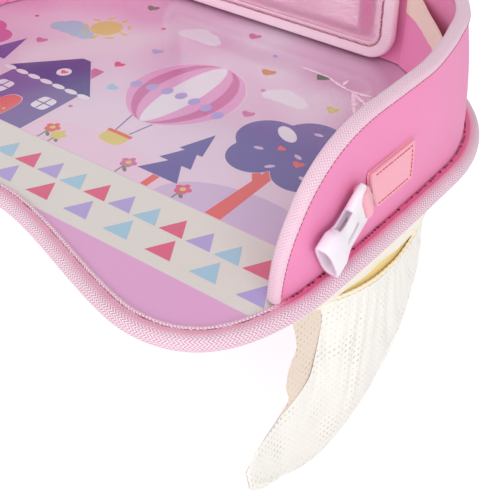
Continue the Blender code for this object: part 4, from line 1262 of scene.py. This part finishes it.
# %% Cut the socket, the windows and the slots
def buckle_mesh():
    housing = solid_from_rings("housing", [
        rounded_ring((BUCKLE_LENGTH + BUCKLE_TAIL) * share - BUCKLE_TAIL,
                     np.interp(wide, (-1, 0, 1), WAIST_WIDTHS), 0.0031 + 0.0021 * thick)
        for share, wide, thick in BUCKLE_PROFILE])
    turn = angles(32)
    shapes = (
        ("socket", [rounded_ring(*ring) for ring in (
            (0.009, 0.011, 0.00255), (0.0252, 0.011, 0.00255), (0.0344, 0.0148, 0.0036),
            (0.040, 0.0148, 0.0036))]),
        ("window", rounded_slot(0.0105, 0.0225, 0.0026)),
        ("side_cut", [[(x, y, z) for x, z in (
            (0.0115, -0.0021), (0.023, -0.0021), (0.023, 0.0021), (0.0115, 0.0021))]
            for y in (-0.03, 0.03)]),
        ("web_cut", rounded_slot(-0.012, 0.0048, 0.0131)),
        ("bar", [join(BAR_RADIUS * np.cos(turn), y, BAR_RADIUS * np.sin(turn))
                 for y in (-0.0139, 0.0139)]))
    tools = [solid_from_rings(*shape) for shape in shapes]
    for tool in tools:
        cut = housing.modifiers.new(tool.name, "BOOLEAN")
        cut.object, cut.solver = tool, "EXACT"
        cut.operation = "UNION" if tool is tools[-1] else "DIFFERENCE"
    apply_modifiers(housing)
    bevel = housing.modifiers.new("bevel", "BEVEL")
    bevel.width, bevel.segments, bevel.limit_method = 0.00035, 2, "ANGLE"
    bevel.angle_limit = math.radians(50)
    apply_modifiers(housing)
    mesh = housing.data
    for item in [housing] + tools:
        bpy.data.objects.remove(item, do_unlink=True)
    return mesh


# %% [markdown]
# Moulded nylon is smooth but not mirror-like: light sinks in a little, and the surface
# has fine scratches from use. A faint noise in the roughness and a very small bump are
# enough, with a touch of light scattered under the surface.

# %% Buckle plastic, and one buckle on each side
buckle_plastic, tree, shader = start_finish("buckle_plastic", 0.38, {
    "Subsurface Weight": 0.8, "Subsurface Radius": (0.004, 0.003, 0.004),
    "Subsurface Scale": 1.0, "Specular IOR Level": 0.5})
scuff = noise(tree, 420.0, 4.0)
feed(shader, {"Base Color": vary(tree, srgb(246, 234, 251), 0.05, 0.02, 60.0),
              "Roughness": spread(scuff, -0.4, 1.8), "Normal": bumps(scuff, 0.00003)})
right_mesh = buckle_mesh()
right_mesh.transform(buckle_frame)
left_mesh = right_mesh.copy()
left_mesh.transform(Matrix.Scale(-1, 4, (1, 0, 0)))
left_mesh.flip_normals()
for name, mesh in (("right", right_mesh), ("left", left_mesh)):
    mesh.materials.clear()
    mesh.materials.append(buckle_plastic)
    mesh.shade_smooth()
    mesh.set_sharp_from_angle(angle=math.radians(38))
    place(show(f"{name}_buckle_housing", mesh), f"{name}_buckle", "buckle", f"{name}_buckle")
print("buckle faces:", len(right_mesh.polygons))

# %% [markdown]
# ## Mesh bags
#
# A limp bag of knitted mesh hangs under each side. It has a back panel against the tray,
# an outer panel that bulges, and an open mouth with elastic. Each panel is a patch
# between four curves: its front edge, its rear edge, the mouth and the bottom. Such a
# patch follows the sewn edges exactly. It is cut a little too large for its edges, as a
# limp bag is, and a short cloth simulation lets the middle hang and fold between them.

# %% Mesh with real holes
HOLE = 0.65


def mesh_finish(name, colour, shade, mouth=None):
    """Round holes on a slanting lattice, in mm. They are wide open only in patches."""
    material, tree, shader = start_finish(name, 0.9, {
        "Sheen Weight": 0.3, "Specular IOR Level": 0.2})
    where = place_in_mm(tree)
    x, y = split(where)
    aside, down = ((calc("FRACT", run / pitch) - 0.5) * pitch
                   for run, pitch in ((x, 2.7), (y - x * 0.35, 4.4)))
    open_size = spread(noise(tree, 0.05, 1.0, where), 0.47, 0.68, HOLE * 0.2, HOLE)
    rim = calc("SQRT", aside * aside + down * down) - open_size
    yarn = spread(rim, 0.0, 0.4)
    mixed = blend_colours(yarn, shade, colour)
    if mouth:
        mixed = blend_colours(spread(y, -34.0, -24.0) * spread(x, -66.0, -58.0), mixed, mouth)
    feed(shader, {"Base Color": vary(tree, mixed, 0.05, 0.05), "Normal": bumps(yarn, 0.0002),
                  "Alpha": spread(rim, -0.3, 0.15, 0.5, 0.92)})
    return material


outer_mesh_cloth = mesh_finish("outer_mesh", srgb(255, 251, 245), srgb(252, 245, 238))
# The back panel is the same mesh as the outer one; its beige colour is painted shade, as it hangs
# behind the outer panel.
back_panel_shaded_mesh = mesh_finish("back_panel_shaded", srgb(240, 222, 206), srgb(228, 206, 186),
                              mouth=srgb(255, 206, 104))

# %% Edges of the bag's panels
BAG_TOP, ROWS, COLUMNS = -GAP - TAPE - GAP, 60, 72
BAG_DEPTH, BAG_THICKNESS, PANEL_GAP = 0.009, 0.0003, 0.0009
SPARE, FARTHEST = 0.02, 0.005


def spline(count, *points):
    """A smooth row of points through the given ones, evenly spread."""
    row = evenly(points, 400)
    kernel = np.hanning(61)[1:-1]
    kernel /= kernel.sum()
    reach = len(kernel) // 2
    padded = np.vstack((2 * row[0] - row[reach:0:-1], row, 2 * row[-1] - row[-2:-reach - 2:-1]))
    return evenly(join(*(np.convolve(axis, kernel, "valid") for axis in padded.T)), count)


def patch(front, rear, mouth, bottom):
    """A surface between four rows of (Y, Z): down the front and rear, along mouth and foot."""
    s = np.linspace(0, 1, len(front))[:, None, None]
    t = np.linspace(0, 1, len(mouth))[None, :, None]
    sides = (1 - t) * front[:, None] + t * rear[:, None]
    ends = (1 - s) * mouth[None] + s * bottom[None]
    corners = ((1 - s) * ((1 - t) * front[0] + t * rear[0])
               + s * ((1 - t) * front[-1] + t * rear[-1]))
    return sides + ends - corners


REAR_SEAM = ((0.0195, -0.022), (0.0185, -0.044), (0.009, -0.072), (-0.006, -0.097),
             (-0.026, -0.115), (-0.050, -0.1255), (-0.070, -0.129))
foot = spline(COLUMNS, (-0.1335, -0.0905), (-0.1330, -0.1040), (-0.120, -0.1125),
              (-0.095, -0.1215), (-0.070, -0.129))
lip = spline(COLUMNS, (-0.078, -0.0085), (-0.0695, -0.0112), (-0.0546, -0.0144),
             (-0.0361, -0.0174), (-0.0125, -0.0188), (0.0068, -0.0157), (0.018, -0.0085))
outer_plan = patch(
    spline(ROWS, (-0.078, -0.0085), (-0.0735, -0.0213), (-0.0765, -0.0381), (-0.0815, -0.0590),
           (-0.097, -0.0690), (-0.112, -0.0765), (-0.125, -0.0800), (-0.1335, -0.0905)),
    spline(ROWS, (0.018, -0.0085), *REAR_SEAM), lip, foot)
back_plan = patch(
    spline(ROWS, (-0.100, BAG_TOP), (-0.096, -0.012), (-0.0925, -0.030), (-0.0985, -0.040),
           (-0.1005, -0.055), (-0.0965, -0.064), (-0.105, -0.0735), (-0.1215, -0.080),
           (-0.1335, -0.0905)),
    spline(ROWS, (0.018, BAG_TOP), *REAR_SEAM),
    spline(COLUMNS, (-0.100, BAG_TOP), (0.018, BAG_TOP)), foot)

# %% Fullness of the panels
along_lip = np.linspace(0, 1, COLUMNS)
down_bag = np.linspace(0, 1, ROWS)[:, None]


def back_x(y):
    return on_edge(length_at_y(np.clip(y, -0.104, 0.0)))[0] - 0.0096


seam_swell = 0.12 + 0.38 * along_lip
outer_swell = seam_swell + (1 - seam_swell) * np.sin(math.pi * along_lip) ** 0.7
closing = smooth((down_bag - 0.86) / 0.14)
back_swell = 0.06 + 0.44 * along_lip ** 6
back_swell = back_swell + (outer_swell - 0.1 - back_swell) * closing


def panel_places(plan, swell, seed, slack=1.0):
    y, z = plan[..., 0], plan[..., 1]
    depth = np.interp(down_bag, (0, 0.45, 1), (BAG_DEPTH, 0.011, 0.004))
    folds = 0.0007 * np.sin(z * 95 + y * 60 + seed) + 0.0005 * np.sin(y * 170 - z * 40 + seed)
    edges = np.sin(math.pi * along_lip) * (0.2 + 0.8 * down_bag)
    return join(back_x(y) + depth * swell + folds * slack * edges, y, z)


def hang(places, plan, material, back):
    """The outer panel after it has settled, kept clear of the back panel.

    Each place moves by FARTHEST at most, and stays PANEL_GAP in front of the back panel.
    """
    item = grid_object("bag_outer_panel", places, plan, material)
    sewn = np.ones((ROWS, COLUMNS), bool)
    sewn[1:-1, 1:-1] = False
    settle(item, np.flatnonzero(sewn.ravel()), spare=SPARE, frames=30)
    points = np.empty(len(item.data.vertices) * 3)
    item.data.vertices.foreach_get("co", points)
    bpy.data.objects.remove(item, do_unlink=True)
    moved = points.reshape(places.shape) - places
    far = np.linalg.norm(moved, axis=-1, keepdims=True)
    hung = places + moved * np.minimum(1, FARTHEST / np.maximum(far, 1e-9))
    behind = back.reshape(-1, 3)
    tree = KDTree(len(behind))
    for index, (_, y, z) in enumerate(behind):
        tree.insert((0, y, z), index)
    tree.balance()
    for row in range(1, ROWS - 1):
        for column in range(1, COLUMNS - 1):
            x, y, z = hung[row, column]
            nearest = tree.find((0, y, z))[1]
            hung[row, column, 0] = max(x, behind[nearest, 0] + PANEL_GAP)
    print(f"outer panel settled by up to {far.max() * 1000:.1f} mm")
    return hung


back_places = panel_places(back_plan, back_swell, 2.1, slack=1 - closing)
outer_places = hang(panel_places(outer_plan, outer_swell, 0.4), outer_plan, outer_mesh_cloth,
                    back_places)
for name, side in (("right", 1), ("left", -1)):
    for part, places, plan, material, solids in (
            ("outer", outer_places, outer_plan, outer_mesh_cloth, (f"{name}_mesh_pocket",)),
            ("back", back_places, back_plan, back_panel_shaded_mesh, ())):
        piece = grid_object(f"{name}_bag_{part}_panel", places, plan, material,
                            (f"{name}_bag", "mesh", *solids), side=side,
                            thickness=BAG_THICKNESS)
        wide, tall = (float(np.ptp(plan[..., axis])) for axis in (0, 1))
print("bag panels:", ROWS, "rows by", COLUMNS, "columns")

# %% [markdown]
# The mouth is gathered on a narrow elastic, and a yellow lining shows inside it. Above
# the mouth a strip of cloth hangs from the tray's edge as a hem. The elastic and the
# lining follow the curve of the mouth, and the hem follows the edge of the tray.

# %% Elastic in the mouth, its lining and the hem above it
lip_y, lip_z = lip.T
lip_x = back_x(lip_y) + BAG_DEPTH * outer_swell
top_x = on_edge(length_at_y(lip_y), 0.0056)[0]
share = np.linspace(0, 1, 8)[:, None]
lining_foot = lip_z - 0.001 - 0.006 * np.sin(math.pi * along_lip) ** 0.6
lengths = np.linspace(float(length_at_y(-0.104)), float(length_at_y(0.018)), 60)
hem_x, hem_y = on_edge(lengths, 0.0030)
tall = np.interp(hem_y, (-0.104, -0.08, -0.052, -0.016, 0.010, 0.018),
                 (0.002, 0.005, 0.0090, 0.0112, 0.0128, 0.006))
for name, side in (("right", 1), ("left", -1)):
    grid_object(f"{name}_mouth_elastic",
                (lip_x - 0.0004 + 0.00025 * np.sin(along_lip * 150), lip_y,
                 lip_z + np.array([[0.0022], [0.0], [-0.0025], [-0.0045]])),
                (distances(lip), np.array([[0.0], [0.002], [0.004], [0.006]])), mouth_elastic,
                (f"{name}_bag", "elastic", f"{name}_pocket_elastic"), side, 0.001)
    grid_object(f"{name}_mouth_lining",
                (top_x * (1 - share) + (lip_x - 0.0022) * share, lip_y,
                 (BAG_TOP - 0.003) * (1 - share) + lining_foot * share),
                (distances(lip), 0.016 * share), lining_cloth, (f"{name}_bag", "elastic"),
                side, 0.0004)
    hem = grid_object(f"{name}_hem",
                      (hem_x - 0.0012 * share ** 2 + 0.0004 * np.sin(lengths * 200) * share,
                       hem_y, BAG_TOP - tall * share),
                      (lengths, 0.009 * share), hem_cloth,
                      ("tray", "hem", f"{name}_pocket_hem"), side, 0.0007)
print(f"hem: {(lengths[-1] - lengths[0]) * 1000:.0f} mm long")

# %% [markdown]
# ## The phone holder
#
# The holder is a padded flap on the rear wall: a back cloth, a front cloth, and a clear
# window that stands off for a phone, all held by a ribbed tape. The cloths grow from the
# middle to a rounded outline. The window is one sheet whose height rises from its seams.

# %% Outline of the holder and its cloths
HOLDER_FOOT, HOLDER_TOP, HOLDER_HALF = FACE + 0.0023, FACE + 0.0963, 0.103
HOLDER_RADIUS, HOLDER_BACK, HOLDER_FRONT, WINDOW_Y = 0.020, 0.1400, 0.1371, 0.1360
CLOTH_THICKNESS = 0.0006


def holder_line(inset):
    half = HOLDER_HALF - inset
    line = rounded_rectangle(-half, half, HOLDER_FOOT + inset, HOLDER_TOP - inset,
                             HOLDER_RADIUS - inset, 10)
    return np.vstack((line, line[:1]))


def even_line(inset, step=0.0012):
    return evenly(holder_line(inset), int(distances(holder_line(0))[-1] / step))


def holder_cloth(name, level, facing, node):
    outline = even_line(0.0023, 0.006)
    middle = np.array((0, (HOLDER_FOOT + HOLDER_TOP) / 2))
    shares = np.linspace(0, 1, 16)[:, None, None]
    plan = middle + shares * (outline - middle)
    puff = 0.0004 * (1 - shares[..., 0] ** 4) * np.sin(plan[..., 0] * 60)
    places = join(plan[..., 0], level + puff, plan[..., 1])
    item = grid_object(name, places[::-facing], plan[::-facing], skin_cloth,
                       ("phone_holder", "skin", node), thickness=CLOTH_THICKNESS)


holder_cloth("holder_front_cloth", HOLDER_FRONT - 0.0008, -1, "holder_front")
holder_cloth("holder_back_cloth", HOLDER_BACK, 1, "holder_back")

# %% The clear window
WINDOW_THICKNESS = 0.0004
half, low, high = HOLDER_HALF - 0.008, HOLDER_FOOT + 0.008, HOLDER_TOP - 0.014
x = np.linspace(-half, half, 120)
z = np.linspace(low, high, 60)[:, None]
rise = smooth((half - np.abs(x) - 0.0064) / 0.010) * smooth((z - low - 0.0064) / 0.010)
y = WINDOW_Y - rise * (0.0075 + 0.0005 * np.sin(x * 90 + z * 40) * np.sin(z * 75))
grid_object("holder_clear_window", (x, y, z), (x, z),
            clear_finish("window_film", 0.2, 1.5, 0.38, 22.0, 0.0004),
            ("phone_holder", "film", "holder_window"), thickness=WINDOW_THICKNESS)

# %% The holder's tape and its stitches
FRONT_FACE = WINDOW_Y - WINDOW_THICKNESS - GAP - TAPE
BACK_FACE = HOLDER_BACK + GAP + TAPE
HOLDER_LEG, HOLDER_ROLL = 0.0118, 0.0022
legs = np.linspace(HOLDER_ROLL, HOLDER_LEG, 14)[1:]
puff = mound(legs, 0.005, 0.002, 0.0003) - mound(legs, 0.0096, 0.0006, 0.0004)
section = folded_tape(FRONT_FACE, BACK_FACE, HOLDER_ROLL, 11, join(legs, FRONT_FACE - puff)[::-1],
                      join(legs, BACK_FACE), HOLDER_LEG, 0.0020)
lines = np.stack([even_line(inset) for inset in section[:, 0]], 1)
travelled = distances(even_line(0))
grid_object("holder_tape", (lines[..., 0], section[:, 1], lines[..., 1]),
            (travelled[:, None], distances(section)), holder_tape_cloth,
            ("phone_holder", "tape", "holder_binding"), closed=True)
for number, (inset, thread) in enumerate(((0.0088, thread_cloth), (0.0096, thread_cloth),
                                          (0.0110, pale_thread))):
    line = even_line(inset) + 0.0002 * np.sin(travelled * 700 + number)[:, None]
    stitch_row(f"holder_stitches_{number}", join(line[:, 0], FRONT_FACE - 0.0001, line[:, 1]),
               (0, -1, 0), "phone_holder", thread, pitch=0.0027, radius=0.0003,
               holes=0 if number else 0.00035, seed=30 + number)
print(f"holder tape: {travelled[-1] * 1000:.0f} mm")

# %% The strip the holder hangs from
STRIP_HALF, STRIP_ROUND = 0.085, 0.0016
turn = np.linspace(0, 2 * math.pi, 33)
x = np.linspace(-STRIP_HALF, STRIP_HALF, 241)[:, None]
beyond = np.clip((np.abs(x) - STRIP_HALF + STRIP_ROUND) / STRIP_ROUND, 0, 1)
full = np.sqrt(1 - beyond ** 2)
grid_object("holder_hinge_strip",
            (x, 0.1415 + 0.00115 * full * signed_power(np.cos(turn), 0.4),
             0.08165 + 0.0042 * full * signed_power(np.sin(turn), 0.4)),
            (x, turn * 0.0035), holder_tape_cloth, ("tray", "tape", "holder_hinge_tape"),
            closed=True)

# %% [markdown]
# ## Pockets in the rear corners
#
# A cloth spans each rear corner and stands off the wall, with a wide beige elastic at
# its top. Its places follow the wall, plus an arch that is widest in the middle. The
# elastic pulls the cloth in, so small gathers run down from it.

# %% Corner pockets
CORNER_HEIGHT, BAND_HEIGHT = 0.0385, 0.0185
start, stop = (CORNER_START + CORNER_RADIUS * math.radians(turn) for turn in (2, 79))
share = np.linspace(0, 1, 70)[:, None]
arch = np.sin(math.pi * share)
length = start + (stop - start) * share
seam = FACE + 0.057 - 0.004 * arch - BAND_HEIGHT


def corner_sheet(name, low, high, standoff, gather, rows, material, rides, side, thickness):
    down = np.linspace(0, 1, rows)
    height = low + (high - low) * down
    folds = gather * np.sin(share * 75) * np.sin(math.pi * (down * 0.5 + 0.5))
    near = INNER_FACE + GAP + standoff + 0.009 * arch + thickness + folds * arch
    return grid_object(name, in_wall(length, height, near)[:, ::-1],
                       join(length, height)[:, ::-1], material, rides, side, thickness)


for name, side in (("right", 1), ("left", -1)):
    panel = corner_sheet(f"{name}_corner_cloth", WALL_FOOT, seam - GAP, 0.0003, 0.0004, 20,
                         skin_cloth, ("tray", "skin", f"{name}_corner_pocket"), side, 0.0008)
    corner_sheet(f"{name}_corner_elastic", seam, seam + BAND_HEIGHT, 0.0, 0.0002, 12,
                 band_cloth, ("tray", "band", f"{name}_corner_band"), side, 0.0014)
print(f"corner pockets span {(stop - start) * 1000:.0f} mm of the wall")

# %% [markdown]
# ## What stays hidden
#
# The board, the foam and the holder's stiffener are closed in by the cloths, and their
# solids are right as they are. They still get a finish of their own, because they show
# when the tray is taken apart.

# %% Board and foam
def plain_grain(name, colour, roughness, scale, bump):
    material, tree, shader = start_finish(name, roughness)
    feed(shader, {"Base Color": vary(tree, colour, 0.08, 0.05, 30.0),
                  "Normal": bumps(noise(tree, scale, 4.0), bump)})
    return material


board = plain_grain("board_plastic", srgb(214, 214, 208), 0.55, 260.0, 0.00005)
foam = plain_grain("foam", srgb(240, 236, 228), 0.95, 900.0, 0.0003)
for node, material in (("base_board", board), ("holder_core", board), ("wall_core", foam)):
    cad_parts[node].data.materials[0] = material

# %% [markdown]
# ## Floor, lamps and sky
#
# The picture is a studio shot on white. A pale floor under the tray keeps its soft
# shadow, and shows white to the camera and in reflections through the Light Path node.
# Seen from below it is clear, so the tray's underside can be looked at too.
# Wide lamps give plain soft light, so a colour renders about as it is written.

# %% Floor
FLOOR_LEVEL, FLOOR_HALF = -0.17, 6


def seen_directly(tree):
    """1 for the camera and in reflections, 0 for the light that falls on the tray."""
    ray = add_node(tree, "ShaderNodeLightPath", out="Is Camera Ray")
    return calc("MAXIMUM", ray, calc("MAXIMUM", ray.beside("Is Glossy Ray"),
                                     ray.beside("Is Transmission Ray")))


floor_mesh = bpy.data.meshes.new("floor")
floor_mesh.from_pydata([(x * FLOOR_HALF, y * FLOOR_HALF, FLOOR_LEVEL)
                        for x, y in ((-1, -1), (1, -1), (1, 1), (-1, 1))], [], [(0, 1, 2, 3)])
floor_finish, tree, shader = start_finish("studio_floor", 0.9, {
    "Base Color": (0.9, 0.9, 0.9, 1), "Emission Color": (1, 1, 1, 1), "Specular IOR Level": 0.0})
below = add_node(tree, "ShaderNodeNewGeometry", out="Backfacing")
feed(shader, {"Emission Strength": seen_directly(tree) * 0.42 + 0.14, "Alpha": 1.0 - below})
floor_mesh.materials.append(floor_finish)
show("floor", floor_mesh)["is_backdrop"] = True

# %% Lamps and world
for name, spot, size, power in (("key", (1.5, -1.2, 1.0), 1.3, 19.0),
                                ("fill", (-0.8, -1.5, 0.9), 1.6, 9.0)):
    item = show(name, bpy.data.lights.new(name, "AREA"))
    item.data.size, item.data.energy = size, power
    item.location = spot
    item.rotation_euler = (-Vector(spot)).to_track_quat("-Z", "Y").to_euler()
world = bpy.data.worlds.new("studio")
bpy.context.scene.world = world
world.use_nodes = True
feed(world.node_tree.nodes["Background"], {
    "Strength": seen_directly(world.node_tree) * 0.45 + 0.55, "Color": (1, 1, 1, 1)})
bpy.context.scene.view_settings.view_transform = "Standard"

# %% [markdown]
# ## Sizes
#
# The sizes of the frame and of the dressed tray are printed, in millimetres. The
# dressed tray must stay as large as its frame.

# %% Print both sizes and finish
visual = [[float(value) for value in corner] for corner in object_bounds()]
for label, (lowest, highest) in (("cad", cad_bounds), ("visual", visual)):
    print(label, [round((b - a) * 1000, 1) for a, b in zip(lowest, highest)])
